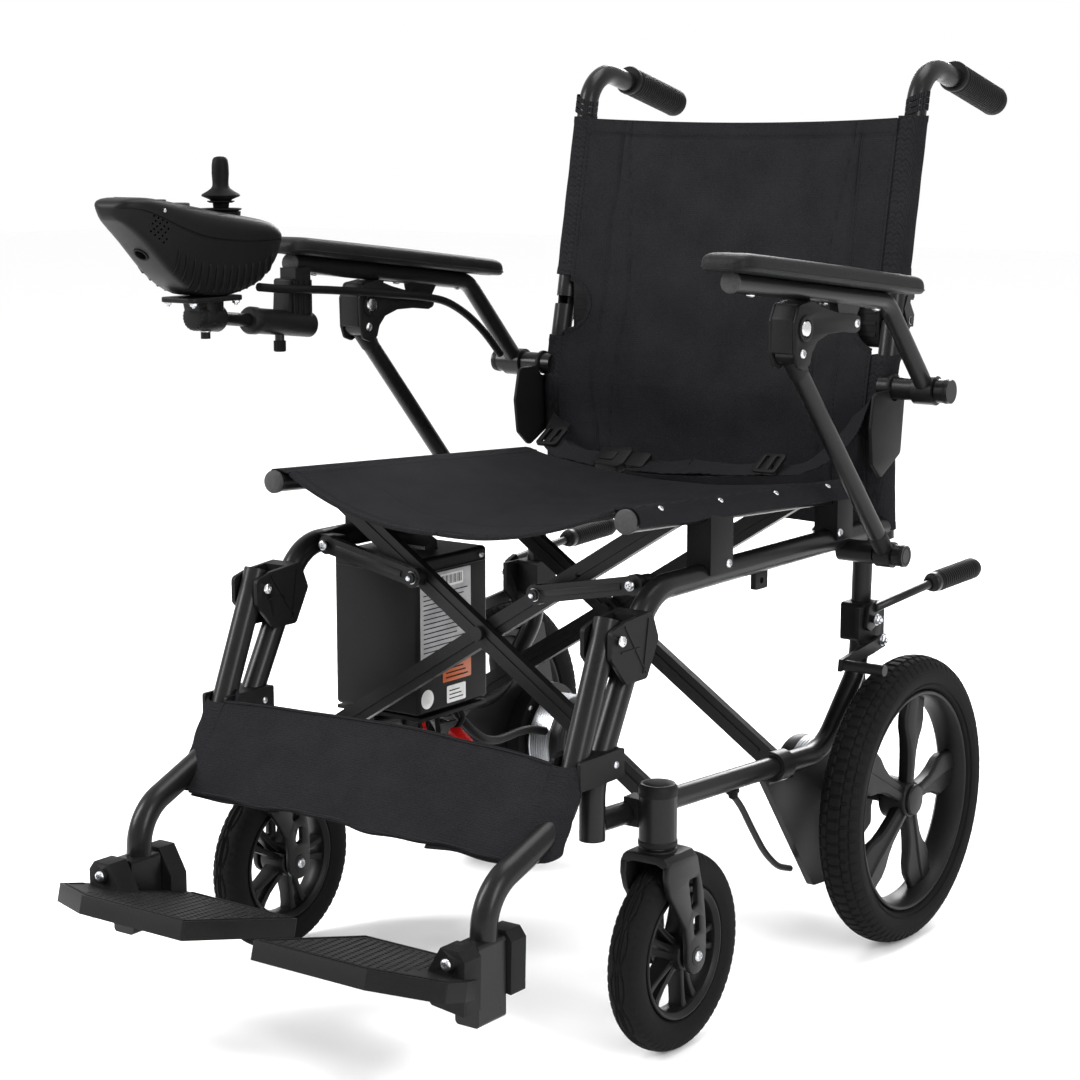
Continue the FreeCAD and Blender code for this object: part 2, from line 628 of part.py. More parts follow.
def back_and_brake():
    add_pair("brake_lever", brake_lever())
    add_pair("brake_shoe", brake_shoe())
    add_pair("upper_cane", upper_cane())
    add_pair("release_lever", release_lever())
    lower = [(52, 448), (44, 587), (62, 672), (66, 671), (48, 586.5), (56, 448)]
    add("back_sling_lower", slab_yz(lower, -208, 208))
    upper = [(66.5, 690), (107, 897), (111, 896), (70.5, 689)]
    add("back_sling_upper", slab_yz(upper, -207, 207))
    add("lap_belt", box(-190, 190, -2, 26, 512, 528))


# ---- battery and wiring -------------------------------------------------------------------
def power():
    case = box(-235, -118, -350, -227, 262, 433)
    add("battery", soften(case, 5))
    loom = cord([(-140, -262, 252), (-136, -240, 226), (-138, -210, 206), (-146, -176, 196),
                 (-156, -140, 192), (-164, -104, 190), (-168, -76, 186), (-168, -50, 178)], 5)
    plug = box(-150, -130, -300, -262, 206, 224)
    lead = cord([(-140, -290, 253), (-139, -292, 244), (-140, -288, 226)], 3)
    add("wiring_loom", group(loom, soften(plug, 3), lead))


# ---- joystick controller ------------------------------------------------------------------
def pod_arm():
    bar = rod(rod_point(-338), rod_point(-520), 7)
    y = -505.0
    head = soften_ends(rod((POD_X, y, 687), (POD_X, y, 716), 14), 3)
    screw = rod((POD_X, y, 672), (POD_X, y, 688), 5)
    return bar.fuse([head, screw])


def pod_housing():
    outline = [(-640, 806), (-634, 815), (-600, 818), (-500, 801.5), (-424, 790), (-415, 780), (-414, 752),
               (-440, 730), (-500, 716.6), (-540, 718), (-570, 738), (-618, 786)]
    body = soften(slab_yz(outline, POD_X - 36, POD_X + 36), 5)
    well = rod((POD_X, POD_PIVOT[0], 772), (POD_X, POD_PIVOT[0], 830), 21)
    for y, r in ((-566.0, 7.0), (-540.0, 12.0)):
        body = body.cut(rod((POD_X, y, 803), (POD_X, y, 840), r))
    socket = rod((POD_X, -584.1, 771.9), (POD_X, -624, 732), 6)
    return body.cut(well).cut(socket)


def stick():
    y, z = POD_PIVOT
    shaft = rod((POD_X, y, z - 16), (POD_X, y, z + 30), 4)
    knob = soften_ends(rod((POD_X, y, z + 26), (POD_X, y, z + 57), 8.5), 4)
    boot = []
    for i, r in enumerate((15, 12.5, 10.5)):
        boot.append(rod((POD_X, y, z + 7 + 7 * i), (POD_X, y, z + 13.5 + 7 * i), r))
    core = rod((POD_X, y, z + 8), (POD_X, y, z + 28), 8)
    return shaft.fuse([knob, core] + boot)


def gimbal():
    y, z = POD_PIVOT
    outer = rod((POD_X, y, z - 5), (POD_X, y, z + 3), 13)
    inner = rod((POD_X, y, z - 6), (POD_X, y, z + 4), 8)
    return outer.cut(inner)


def controller():
    add("pod_arm", pod_arm())
    add("pod_housing", pod_housing())
    add("joystick", stick())
    add("stick_gimbal", gimbal())
    add("power_key", soften_ends(rod((POD_X, -566, 805.5), (POD_X, -566, 815), 6.5), 1))
    add("speed_key", soften_ends(rod((POD_X, -540, 805.5), (POD_X, -540, 811), 11.5), 1))
    x = -254.5
    route = [(x, -440, 722), (x, -395, 717), (x, -340, 714), (x, -285, 709), (x, -230, 703), (x, -175, 698),
             (x, -125, 690), (x, -85, 672), (x, -50, 648), (x, -20, 620)]
    add("joystick_cable", cord(route, 4.5))


def main():
    side_frames()
    folding_parts()
    wheels()
    leg_rests()
    armrests()
    back_and_brake()
    power()
    controller()
    os.makedirs("parts", exist_ok=True)
    for name, shape in NODES.items():
        shape = shape.copy()
        shape.translate(V(0, SHIFT_Y, 0))
        shape.exportStep("parts/" + name + ".step")
        print(name, len(shape.Solids), round(shape.Volume / 1000, 1), shape.isValid())


main()
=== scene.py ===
"""Looks of the folding power wheelchair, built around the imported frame.

Lengths are written in millimetres from the middle of the rear axle's line on the floor, as in
the part's source: +X to the user's left, -Y to the front, +Z up. `at` turns them into metres in
the frame's own axes.
"""
import json
import math

import bmesh
import bpy
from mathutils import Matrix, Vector, noise

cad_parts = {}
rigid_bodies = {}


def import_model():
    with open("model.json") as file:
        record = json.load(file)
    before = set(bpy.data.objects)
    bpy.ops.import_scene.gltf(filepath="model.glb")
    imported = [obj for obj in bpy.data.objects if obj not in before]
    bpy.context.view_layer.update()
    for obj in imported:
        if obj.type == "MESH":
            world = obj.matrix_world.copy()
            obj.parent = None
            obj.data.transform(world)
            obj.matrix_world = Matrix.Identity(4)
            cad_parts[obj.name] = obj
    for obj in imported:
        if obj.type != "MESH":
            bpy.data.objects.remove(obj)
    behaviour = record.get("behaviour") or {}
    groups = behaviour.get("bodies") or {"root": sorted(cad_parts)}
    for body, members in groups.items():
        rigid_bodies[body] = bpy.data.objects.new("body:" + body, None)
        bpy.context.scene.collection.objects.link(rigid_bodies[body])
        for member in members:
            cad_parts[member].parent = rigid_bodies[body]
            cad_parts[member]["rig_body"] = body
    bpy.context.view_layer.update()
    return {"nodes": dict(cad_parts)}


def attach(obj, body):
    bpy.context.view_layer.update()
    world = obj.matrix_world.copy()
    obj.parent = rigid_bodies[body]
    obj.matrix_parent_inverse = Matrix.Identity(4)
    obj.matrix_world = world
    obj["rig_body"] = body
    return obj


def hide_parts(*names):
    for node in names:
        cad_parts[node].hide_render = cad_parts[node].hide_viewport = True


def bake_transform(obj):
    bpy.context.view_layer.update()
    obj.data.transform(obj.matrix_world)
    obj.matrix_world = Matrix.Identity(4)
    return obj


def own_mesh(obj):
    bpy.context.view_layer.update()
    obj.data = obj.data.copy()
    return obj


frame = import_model()
SHIFT_Y = 242.12
RAKE = math.radians(3.13)
LOWER_Z0, RAIL_H = 214.3, 282.0
FRAME_X, ARM_X, POD_X = 221.0, 276.0, -270.0
SIDES = (("left", 1), ("right", -1))
BLACK_DEPTH = 0.5
CAMERA_PLACE = (1470.08, -2320.6, 889.3)
CAMERA_LENS, CAMERA_SENSOR = 80.68, 36
CAMERA_PITCH, CAMERA_YAW = -9.741, 35.918


def at(p):
    return Vector((p[0], p[1] + SHIFT_Y, p[2])) / 1000


def raked(x, y, n):
    return (x, y * math.cos(RAKE) + n * math.sin(RAKE), LOWER_Z0 - y * math.sin(RAKE) + n * math.cos(RAKE))


# ---- camera, floor and light ----------------------------------------------------------------
def add_camera():
    data = bpy.data.cameras.new("camera")
    data.lens, data.sensor_width = CAMERA_LENS, CAMERA_SENSOR
    data.clip_end = 60
    cam = bpy.data.objects.new("camera", data)
    cam.location = at(CAMERA_PLACE)
    cam.rotation_euler = (math.radians(90 + CAMERA_PITCH), 0, math.radians(CAMERA_YAW))
    bpy.context.scene.collection.objects.link(cam)
    bpy.context.scene.camera = cam


def area_light(name, place, target, size, power, tint=(1, 1, 1)):
    data = bpy.data.lights.new(name, "AREA")
    data.shape, data.size, data.size_y = "RECTANGLE", size[0], size[1]
    data.energy, data.color = power, tint
    lamp = bpy.data.objects.new(name, data)
    lamp.location = place
    lamp.rotation_euler = (Vector(target) - Vector(place)).to_track_quat("-Z", "Y").to_euler()
    bpy.context.scene.collection.objects.link(lamp)


def add_stage():
    mesh = bpy.data.meshes.new("floor")
    mesh.from_pydata([(-14, -14, 0), (14, -14, 0), (14, 14, 0), (-14, 14, 0)], [], [(0, 1, 2, 3)])
    floor = bpy.data.objects.new("floor", mesh)
    bpy.context.scene.collection.objects.link(floor)
    mat = bpy.data.materials.new("floor_pale")
    mat.use_nodes = True
    shader = mat.node_tree.nodes["Principled BSDF"]
    shader.inputs["Base Color"].default_value = (0.98, 0.98, 0.98, 1)
    shader.inputs["Roughness"].default_value = 0.9
    shader.inputs["Specular IOR Level"].default_value = 0.1
    mesh.materials.append(mat)
    world = bpy.data.worlds.new("studio")
    world.use_nodes = True
    world.node_tree.nodes["Background"].inputs["Color"].default_value = (1.0, 1.0, 1.0, 1)
    world.node_tree.nodes["Background"].inputs["Strength"].default_value = 1.0
    bpy.context.scene.world = world
    bpy.context.scene.view_settings.view_transform = "Standard"
    area_light("key", (-2.6, -2.4, 2.6), (0, 0, 0.5), (1.0, 2.2), 190)
    area_light("fill", (3.0, -1.2, 1.8), (0, 0, 0.5), (0.7, 2.0), 75)
    area_light("top", (0.2, 0.6, 3.2), (0, 0, 0.4), (2.2, 1.4), 60)
    area_light("rim", (-1.2, 3.0, 1.9), (0, 0, 0.6), (1.2, 1.6), 70)


# ---- materials --------------------------------------------------------------------------------
class Nodes:
    """Short hand for building one Principled material."""

    def __init__(self, name, rough, metal=0.0, spec=0.5, coat=0.0, coat_rough=0.1, sheen=0.0):
        self.mat = bpy.data.materials.new(name)
        self.mat.use_nodes = True
        self.tree = self.mat.node_tree
        self.shader = self.tree.nodes["Principled BSDF"]
        self.shader.inputs["Roughness"].default_value = rough
        self.shader.inputs["Metallic"].default_value = metal
        self.shader.inputs["Specular IOR Level"].default_value = spec
        self.shader.inputs["Coat Weight"].default_value = coat
        self.shader.inputs["Coat Roughness"].default_value = coat_rough
        self.shader.inputs["Sheen Weight"].default_value = sheen
        self.shader.inputs["Sheen Roughness"].default_value = 0.5
        self.coords = self.add("ShaderNodeTexCoord").outputs["Object"]

    def add(self, kind, **values):
        node = self.tree.nodes.new(kind)
        for key, value in values.items():
            if key in node.inputs:
                node.inputs[key].default_value = value
            else:
                setattr(node, key, value)
        return node

    def link(self, a, b):
        self.tree.links.new(a, b)

    def noise(self, scale, detail=3.0, stretch=None):
        tex = self.add("ShaderNodeTexNoise", Scale=scale, Detail=detail)
        if stretch:
            mapping = self.add("ShaderNodeMapping", Scale=stretch)
            self.link(self.coords, mapping.inputs["Vector"])
            self.link(mapping.outputs["Vector"], tex.inputs["Vector"])
        else:
            self.link(self.coords, tex.inputs["Vector"])
        return tex.outputs["Fac"]

    def voronoi(self, scale):
        tex = self.add("ShaderNodeTexVoronoi", Scale=scale)
        self.link(self.coords, tex.inputs["Vector"])
        return tex.outputs["Distance"]

    def waves(self, axis, pitch, distort=0.0):
        """Bands across one axis; pitch in metres."""
        tex = self.add("ShaderNodeTexWave", Scale=0.314 / pitch, Distortion=distort, bands_direction=axis)
        tex.inputs["Detail Scale"].default_value = 3.0
        self.link(self.coords, tex.inputs["Vector"])
        return tex.outputs["Fac"]

    def mix(self, a, b, how="MULTIPLY"):
        node = self.add("ShaderNodeMath", operation=how)
        for i, value in enumerate((a, b)):
            if isinstance(value, (int, float)):
                node.inputs[i].default_value = value
            else:
                self.link(value, node.inputs[i])
        return node.outputs[0]

    def ramp(self, value, stops):
        node = self.add("ShaderNodeValToRGB")
        ramp = node.color_ramp
        while len(ramp.elements) < len(stops):
            ramp.elements.new(0.5)
        for element, (place, colour) in zip(ramp.elements, stops):
            element.position = place
            element.color = (*colour, 1)
        self.link(value, node.inputs["Fac"])
        return node.outputs["Color"]

    def colour(self, socket):
        self.link(socket, self.shader.inputs["Base Color"])

    def rough(self, value, low, high):
        node = self.add("ShaderNodeMapRange")
        node.inputs["To Min"].default_value = low
        node.inputs["To Max"].default_value = high
        self.link(value, node.inputs["Value"])
        self.link(node.outputs["Result"], self.shader.inputs["Roughness"])

    def bump(self, height, distance, strength=1.0):
        node = self.add("ShaderNodeBump", Strength=strength, Distance=distance)
        self.link(height, node.inputs["Height"])
        if self.shader.inputs["Normal"].is_linked:
            self.link(self.shader.inputs["Normal"].links[0].from_socket, node.inputs["Normal"])
        self.link(node.outputs["Normal"], self.shader.inputs["Normal"])


def grey(value):
    return (value * BLACK_DEPTH,) * 3


def worn(n, dark, light, scale, scuff=None):
    """Base colour: slow change of tone, with fine lighter specks where scuff is given."""
    slow = n.noise(scale, 4.0)
    if scuff:
        specks = n.noise(scuff, 6.0)
        slow = n.mix(n.mix(slow, 0.75), n.mix(n.mix(specks, 3.0, "POWER"), 0.9), "ADD")
    n.colour(n.ramp(slow, [(0.25, dark), (0.8, light)]))
    return slow


def coat_paint(name, dark, light, rough=(0.24, 0.36)):
    n = Nodes(name, 0.3, spec=0.17)
    slow = worn(n, dark, light, 14, 260)
    n.rough(slow, *rough)
    n.bump(n.noise(1500, 2.0), 0.00012, 0.45)
    return n.mat


def plastic(name, dark, light, rough=(0.42, 0.56), grain=1400, depth=0.00010, spec=0.09):
    n = Nodes(name, 0.5, spec=spec)
    slow = worn(n, dark, light, 11, 420)
    n.rough(slow, *rough)
    n.bump(n.voronoi(grain), depth, 0.6)
    n.bump(n.noise(60, 3.0), 0.0003, 0.12)
    return n.mat


def rubber(name, dark, light, rough=(0.62, 0.78)):
    n = Nodes(name, 0.7, spec=0.06)
    slow = worn(n, dark, light, 18, 300)
    n.rough(slow, *rough)
    n.bump(n.noise(900, 4.0), 0.00025, 0.5)
    return n.mat


def skin(name):
    """Moulded skin of the arm pads: pebble grain under a dull sheen."""
    n = Nodes(name, 0.5, spec=0.1)
    slow = worn(n, (0.0042, 0.0042, 0.0046), (0.0085, 0.0085, 0.009), 16, 240)
    n.rough(slow, 0.42, 0.6)
    n.bump(n.voronoi(620), 0.00035, 0.7)
    return n.mat


def woven(name, axes, dark, light, pitch=0.0011, bump=0.00022):
    """Plain weave: warp and weft ribs over and under each other, with a heathered thread colour."""
    n = Nodes(name, 0.9, spec=0.02)
    warp = n.waves(axes[0], pitch, 0.25)
    weft = n.waves(axes[1], pitch, 0.25)
    check = n.mix(n.waves(axes[0], 2 * pitch), n.waves(axes[1], 2 * pitch), "SUBTRACT")
    thread = n.mix(n.mix(warp, weft, "MAXIMUM"), n.mix(check, 0.25), "ADD")
    heather = n.mix(n.mix(n.noise(900, 2.0), 1.5), n.mix(n.noise(26, 4.0), 0.5), "ADD")
    tone = n.mix(n.mix(heather, 0.42), n.mix(thread, 0.22), "ADD")
    n.colour(n.ramp(tone, [(0.30, dark), (0.85, light)]))
    n.bump(thread, bump, 0.8)
    n.bump(n.noise(130, 3.0), 0.0006, 0.25)
    return n.mat


def webbing_weave(name, along, across):
    n = Nodes(name, 0.8, spec=0.03)
    ribs = n.waves(across, 0.0019, 0.1)
    picks = n.waves(along, 0.0013, 0.6)
    tone = n.mix(n.mix(ribs, 0.5), n.mix(picks, n.noise(500)), "ADD")
    n.colour(n.ramp(tone, [(0.2, (0.004, 0.004, 0.0045)), (1.0, (0.022, 0.022, 0.024))]))
    n.bump(n.mix(ribs, n.mix(picks, 0.4), "ADD"), 0.0004, 0.9)
    return n.mat


def metal(name, dark, light, rough=(0.18, 0.34), brushed=None):
    n = Nodes(name, 0.25, metal=1.0)
    slow = worn(n, dark, light, 60, 900)
    n.rough(slow, *rough)
    n.bump(n.noise(700, 4.0, brushed), 0.00008, 0.5)
    return n.mat


def label_paper(name, base, accent):
    """Printed film: a plain ground that is a little yellowed and scuffed."""
    n = Nodes(name, 0.42, spec=0.4)
    slow = n.noise(45, 5.0)
    n.colour(n.ramp(slow, [(0.3, accent), (0.62, base)]))
    n.bump(n.noise(380, 2.0), 0.00005, 0.4)
    return n.mat


MAT = {
    "frame": coat_paint("frame_coat", grey(0.0075), grey(0.0145)),
    "brace": coat_paint("brace_satin", grey(0.0095), grey(0.017), (0.3, 0.42)),
    "bracket": plastic("bracket_grain", grey(0.0075), grey(0.0145)),
    "motor": coat_paint("motor_satin", grey(0.010), grey(0.02), (0.34, 0.46)),
    "rim": plastic("rim_satin", grey(0.007), grey(0.0125), (0.33, 0.46), 900, 0.00006, 0.14),
    "tyre": rubber("tyre_rubber", grey(0.0075), grey(0.0135)),
    "fork": coat_paint("fork_satin", grey(0.0075), grey(0.0145), (0.3, 0.44)),
    "fabric": woven("sling_weave", "XZ", (0.0040, 0.0039, 0.0044), (0.0200, 0.0195, 0.0220)),
    "fabric_side": woven("sleeve_weave", "YZ", (0.0040, 0.0039, 0.0044), (0.0185, 0.0180, 0.0205)),
    "fabric_seat": woven("seat_weave", "XY", (0.0040, 0.0039, 0.0044), (0.0200, 0.0195, 0.0220)),
    "binding": webbing_weave("binding_tape", "Z", "X"),
    "webbing": webbing_weave("belt_webbing", "X", "Y"),
    "foot": plastic("footplate_grain", grey(0.0095), grey(0.0175), (0.46, 0.6), 1000, 0.00018),
    "pad": skin("pad_skin"),
    "plate": plastic("arm_plate_grain", grey(0.008), grey(0.0155), (0.4, 0.52), 1100, 0.00014),
    "silver": metal("silver_satin", (0.50, 0.50, 0.50), (0.74, 0.74, 0.75)),
    "zinc": metal("zinc_plate", (0.36, 0.37, 0.38), (0.62, 0.63, 0.66), (0.22, 0.42), (1, 30, 1)),
    "battery": plastic("battery_case", grey(0.0085), grey(0.0145), (0.36, 0.48), 1600, 0.00006),
    "cable": rubber("cable_sheath", grey(0.006), grey(0.0115), (0.42, 0.58)),
    "pod": plastic("pod_grain", grey(0.006), grey(0.0115), (0.36, 0.5), 1500, 0.00009),
    "stick": rubber("stick_rubber", grey(0.0055), grey(0.0105), (0.5, 0.66)),
    "key": rubber("key_top", grey(0.055), grey(0.095), (0.5, 0.62)),
    "grip": rubber("grip_rubber", grey(0.0065), grey(0.0125), (0.45, 0.6)),
    "thread": rubber("stitch_thread", grey(0.016), grey(0.03), (0.6, 0.8)),
    "grey_label": label_paper("label_grey", (0.40, 0.40, 0.41), (0.27, 0.27, 0.28)),
    "white_label": label_paper("label_white", (0.72, 0.72, 0.71), (0.55, 0.55, 0.54)),
    "orange_label": label_paper("label_orange", (0.42, 0.085, 0.015), (0.31, 0.06, 0.01)),
    "red": plastic("connector_red", (0.36, 0.006, 0.006), (0.60, 0.013, 0.012), (0.3, 0.45), 900, 0.00005),
}


# ---- mesh building ----------------------------------------------------------------------------
class Build:
    """Collects shells, in millimetres, that become one piece."""

    def __init__(self):
        self.points, self.faces = [], []

    def shell(self, points, faces):
        base = len(self.points)
        self.points += [tuple(p) for p in points]
        self.faces += [tuple(base + i for i in f) for f in faces]

    def rings(self, rings, close=True, caps=True):
        """Skin over a list of equal rings of points."""
        n = len(rings[0])
        points = [p for ring in rings for p in ring]
        faces = []
        for i in range(len(rings) - 1):
            for k in range(n if close else n - 1):
                m = (k + 1) % n
                faces.append((i * n + k, i * n + m, (i + 1) * n + m, (i + 1) * n + k))
        if caps and close:
            faces.append(tuple(range(n))[::-1])
            faces.append(tuple((len(rings) - 1) * n + k for k in range(n)))
        self.shell(points, faces)

    def lathe(self, profile, origin, axis, segments=48, closed=False, radius=None):
        """Turn (along, radius) points about an axis. radius(k, i, r) may reshape the surface."""
        frame_x, frame_y, frame_z = basis(axis)
        rings = []
        for k in range(segments):
            a = 2 * math.pi * k / segments
            out = frame_x * math.cos(a) + frame_y * math.sin(a)
            ring = []
            for i, (s, r) in enumerate(profile):
                r = radius(k, i, r) if radius else r
                ring.append(Vector(origin) + frame_z * s + out * r)
            rings.append(ring)
        rings.append(rings[0])
        n = len(profile)
        points = [p for ring in rings[:-1] for p in ring]
        faces = []
        for k in range(segments):
            m = (k + 1) % segments
            for i in range(n if closed else n - 1):
                j = (i + 1) % n
                faces.append((k * n + i, m * n + i, m * n + j, k * n + j))
        if not closed:
            for i in (0, n - 1):
                if profile[i][1] > 1e-6:
                    faces.append(tuple(k * n + i for k in range(segments)))
        self.shell(points, faces)

    def pin(self, p, q, r, chamfer=0.6, segments=20):
        length = (Vector(q) - Vector(p)).length
        c = min(chamfer, r * 0.4, length * 0.3)
        self.lathe([(0, r - c), (c, r), (length - c, r), (length, r - c)], p, Vector(q) - Vector(p), segments)

    def sweep(self, path, section, up=(0, 0, 1), caps=True, scale=None):
        """Carry a closed section of (side, up) points along a path."""
        path = [Vector(p) for p in path]
        rings = []
        for i, p in enumerate(path):
            d = (path[min(i + 1, len(path) - 1)] - path[max(i - 1, 0)]).normalized()
            side = d.cross(Vector(up)).normalized()
            top = side.cross(d).normalized()
            k = scale(i / (len(path) - 1)) if scale else 1.0
            rings.append([p + side * (a * k) + top * (b * k) for a, b in section])
        self.rings(rings, caps=caps)

    def box(self, lo, hi):
        (x0, y0, z0), (x1, y1, z1) = lo, hi
        ring = [(x0, y0), (x1, y0), (x1, y1), (x0, y1)]
        self.rings([[(x, y, z0) for x, y in ring], [(x, y, z1) for x, y in ring]])

    def plate(self, outlines, lo, hi, plane="yz", bevel=0.8, place=None):
        """Flat plate with holes and softened rims. The first outline is the outside."""
        mesh = plate_mesh(outlines, (hi - lo) / 2, bevel)
        mid = (lo + hi) / 2
        turn = {"yz": lambda v: (mid + v.z, v.x, v.y), "xz": lambda v: (v.x, mid + v.z, v.y),
                "xy": lambda v: (v.x, v.y, mid + v.z)}[plane]
        points = [Vector(turn(v.co)) for v in mesh.vertices]
        if place:
            points = [place(p) for p in points]
        self.shell(points, [tuple(f.vertices) for f in mesh.polygons])
        bpy.data.meshes.remove(mesh)

    def mirrored(self, side):
        if side > 0:
            return self
        other = Build()
        other.points = [(-x, y, z) for x, y, z in self.points]
        other.faces = list(self.faces)
        return other

    def piece(self, name, body, mat, bevel=0.0, sharp=40.0, segments=2, levels=0, thick=0.0,
              replaces=()):
        mesh = bpy.data.meshes.new(name)
        mesh.from_pydata([at(p) for p in self.points], [], self.faces)
        work = bmesh.new()
        work.from_mesh(mesh)
        bmesh.ops.remove_doubles(work, verts=work.verts, dist=1e-6)
        bmesh.ops.recalc_face_normals(work, faces=work.faces)
        work.to_mesh(mesh)
        work.free()
        obj = bpy.data.objects.new(name, mesh)
        bpy.context.scene.collection.objects.link(obj)
        if thick:
            mod = obj.modifiers.new("thick", "SOLIDIFY")
            mod.thickness, mod.offset = thick / 1000, 0.0
        if bevel:
            mod = obj.modifiers.new("bevel", "BEVEL")
            mod.width, mod.segments, mod.limit_method = bevel / 1000, segments, "ANGLE"
            mod.angle_limit, mod.harden_normals = math.radians(35), False
        if levels:
            mod = obj.modifiers.new("smooth", "SUBSURF")
            mod.levels = mod.render_levels = levels
        settle(obj)
        dress(obj, body, mat, sharp)
        if replaces:
            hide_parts(*replaces)
        return obj


def basis(axis):
    z = Vector(axis).normalized()
    x = z.cross(Vector((0, 0, 1)) if abs(z.z) < 0.9 else Vector((0, 1, 0))).normalized()
    return x, z.cross(x), z


def settle(obj):
    """Apply the modifiers, so that the piece is its own mesh."""
    if obj.modifiers:
        bpy.context.view_layer.update()
        graph = bpy.context.evaluated_depsgraph_get()
        mesh = bpy.data.meshes.new_from_object(obj.evaluated_get(graph))
        obj.modifiers.clear()
        obj.data = mesh


def dress(obj, body, mat, sharp=40.0):
    mesh = obj.data
    mesh.materials.clear()
    mesh.materials.append(MAT[mat])
    mesh.polygons.foreach_set("use_smooth", [True] * len(mesh.polygons))
    mesh.polygons.foreach_set("material_index", [0] * len(mesh.polygons))
    mesh.set_sharp_from_angle(angle=math.radians(sharp))
    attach(obj, body)


def plate_mesh(outlines, half, bevel):
    data = bpy.data.curves.new("plate", "CURVE")
    data.dimensions, data.fill_mode = "2D", "BOTH"
    for outline in outlines:
        spline = data.splines.new("POLY")
        spline.points.add(len(outline) - 1)
        for point, (a, b) in zip(spline.points, outline):
            point.co = (a, b, 0, 1)
        spline.use_cyclic_u = True
    data.extrude, data.bevel_depth = max(half - bevel, 0.01), bevel
    data.bevel_resolution, data.offset = 1, -bevel
    obj = bpy.data.objects.new("plate", data)
    bpy.context.scene.collection.objects.link(obj)
    bpy.context.view_layer.update()
    mesh = bpy.data.meshes.new_from_object(obj.evaluated_get(bpy.context.evaluated_depsgraph_get()))
    bpy.data.objects.remove(obj)
    bpy.data.curves.remove(data)
    return mesh


def rounded(points, radii, steps=5):
    """Outline with its corners turned into arcs."""
    out = []
    n = len(points)
    radii = [radii] * n if isinstance(radii, (int, float)) else radii
    for i in range(n):
        p = Vector(points[i])
        before, after = Vector(points[i - 1]) - p, Vector(points[(i + 1) % n]) - p
        r = radii[i]
        if r <= 0:
            out.append(tuple(p))
            continue
        a, b = before.normalized(), after.normalized()
        half = a.angle(b) / 2
        reach = min(r / math.tan(half), 0.45 * before.length, 0.45 * after.length)
        r = reach * math.tan(half)
        centre = p + (a + b).normalized() * (r / math.sin(half))
        start, end = p + a * reach - centre, p + b * reach - centre
        for k in range(steps + 1):
            t = k / steps
            v = start.lerp(end, t).normalized() * r
            out.append(tuple(centre + v))
    return out


def circle(centre, r, n=24):
    return [(centre[0] + r * math.cos(2 * math.pi * k / n), centre[1] + r * math.sin(2 * math.pi * k / n))
            for k in range(n)]


def lerp(a, b, t):
    return a + (b - a) * t


def curve_at(table, t):
    """Smooth curve through (t, value, ...) rows, read at t."""
    if t <= table[0][0]:
        return table[0][1:]
    for i in range(len(table) - 1):
        if t <= table[i + 1][0]:
            break
    else:
        return table[-1][1:]
    rows = [table[max(i - 1, 0)], table[i], table[i + 1], table[min(i + 2, len(table) - 1)]]
    span = rows[2][0] - rows[1][0]
    u = (t - rows[1][0]) / span
    out = []
    for k in range(1, len(table[0])):
        m0 = (rows[2][k] - rows[0][k]) / (rows[2][0] - rows[0][0]) * span
        m1 = (rows[3][k] - rows[1][k]) / (rows[3][0] - rows[1][0]) * span
        out.append((2 * u ** 3 - 3 * u ** 2 + 1) * rows[1][k] + (u ** 3 - 2 * u ** 2 + u) * m0
                   + (-2 * u ** 3 + 3 * u ** 2) * rows[2][k] + (u ** 3 - u ** 2) * m1)
    return tuple(out)


def smooth_path(points, steps=8):
    rows = [(float(i), *p) for i, p in enumerate(points)]
    return [curve_at(rows, k / steps) for k in range((len(points) - 1) * steps + 1)]


def ring_section(r, n=14):
    return [(r * math.cos(2 * math.pi * k / n), r * math.sin(2 * math.pi * k / n)) for k in range(n)]


# ---- screws -----------------------------------------------------------------------------------
SCREWS = {}


def screw(body, place, axis, r=4.5, kind="hex", mat="zinc"):
    """Head of a screw or nut; its seat is at place and it stands out along axis."""
    build = SCREWS.setdefault((body, mat), Build())
    origin, axis = Vector(place), Vector(axis).normalized()
    x, y, z = basis(axis)
    if kind == "hex":
        build.lathe([(0, r * 1.18), (0.8, r * 1.18), (0.8, r)], origin, axis, 24)
        ring = [origin + x * math.cos(a) * r * 0.98 + y * math.sin(a) * r * 0.98
                for a in [math.pi / 3 * k for k in range(6)]]
        low = [p + z * 0.8 for p in ring]
        high = [p + z * r * 0.62 for p in ring]
        top = [origin + (p - origin) * 0.86 + z * r * 0.78 for p in ring]
        build.rings([low, high, top])
        build.lathe([(r * 0.76, r * 0.5), (r * 1.1, r * 0.5), (r * 1.25, r * 0.35)], origin, axis, 16)
    else:
        dome = [(0, r), (r * 0.18, r * 0.98), (r * 0.38, r * 0.84), (r * 0.5, r * 0.6)]
        build.lathe(dome + [(r * 0.52, r * 0.5), (r * 0.24, r * 0.42), (r * 0.2, 0.0)], origin, axis, 24)
        for k in range(2 if kind == "cross" else 0):
            a = math.pi / 4 + k * math.pi / 2
            d = x * math.cos(a) + y * math.sin(a)
            build.sweep([origin + z * r * 0.40 - d * r * 0.46, origin + z * r * 0.40 + d * r * 0.46],
                        [(-r * 0.1, -0.3), (r * 0.1, -0.3), (r * 0.1, 0.25), (-r * 0.1, 0.25)], up=z)


def place_screws():
    for (body, mat), build in SCREWS.items():
        build.piece("screws_%s_%s" % (mat, body), body, mat, sharp=30)


# ---- slings, straps and belt --------------------------------------------------------------------
def grid(rows):
    """Open sheet through equal rows of points."""
    build = Build()
    build.rings(rows, close=False, caps=False)
    return build


def groove(distance, width):
    return math.exp(-(distance / width) ** 2)


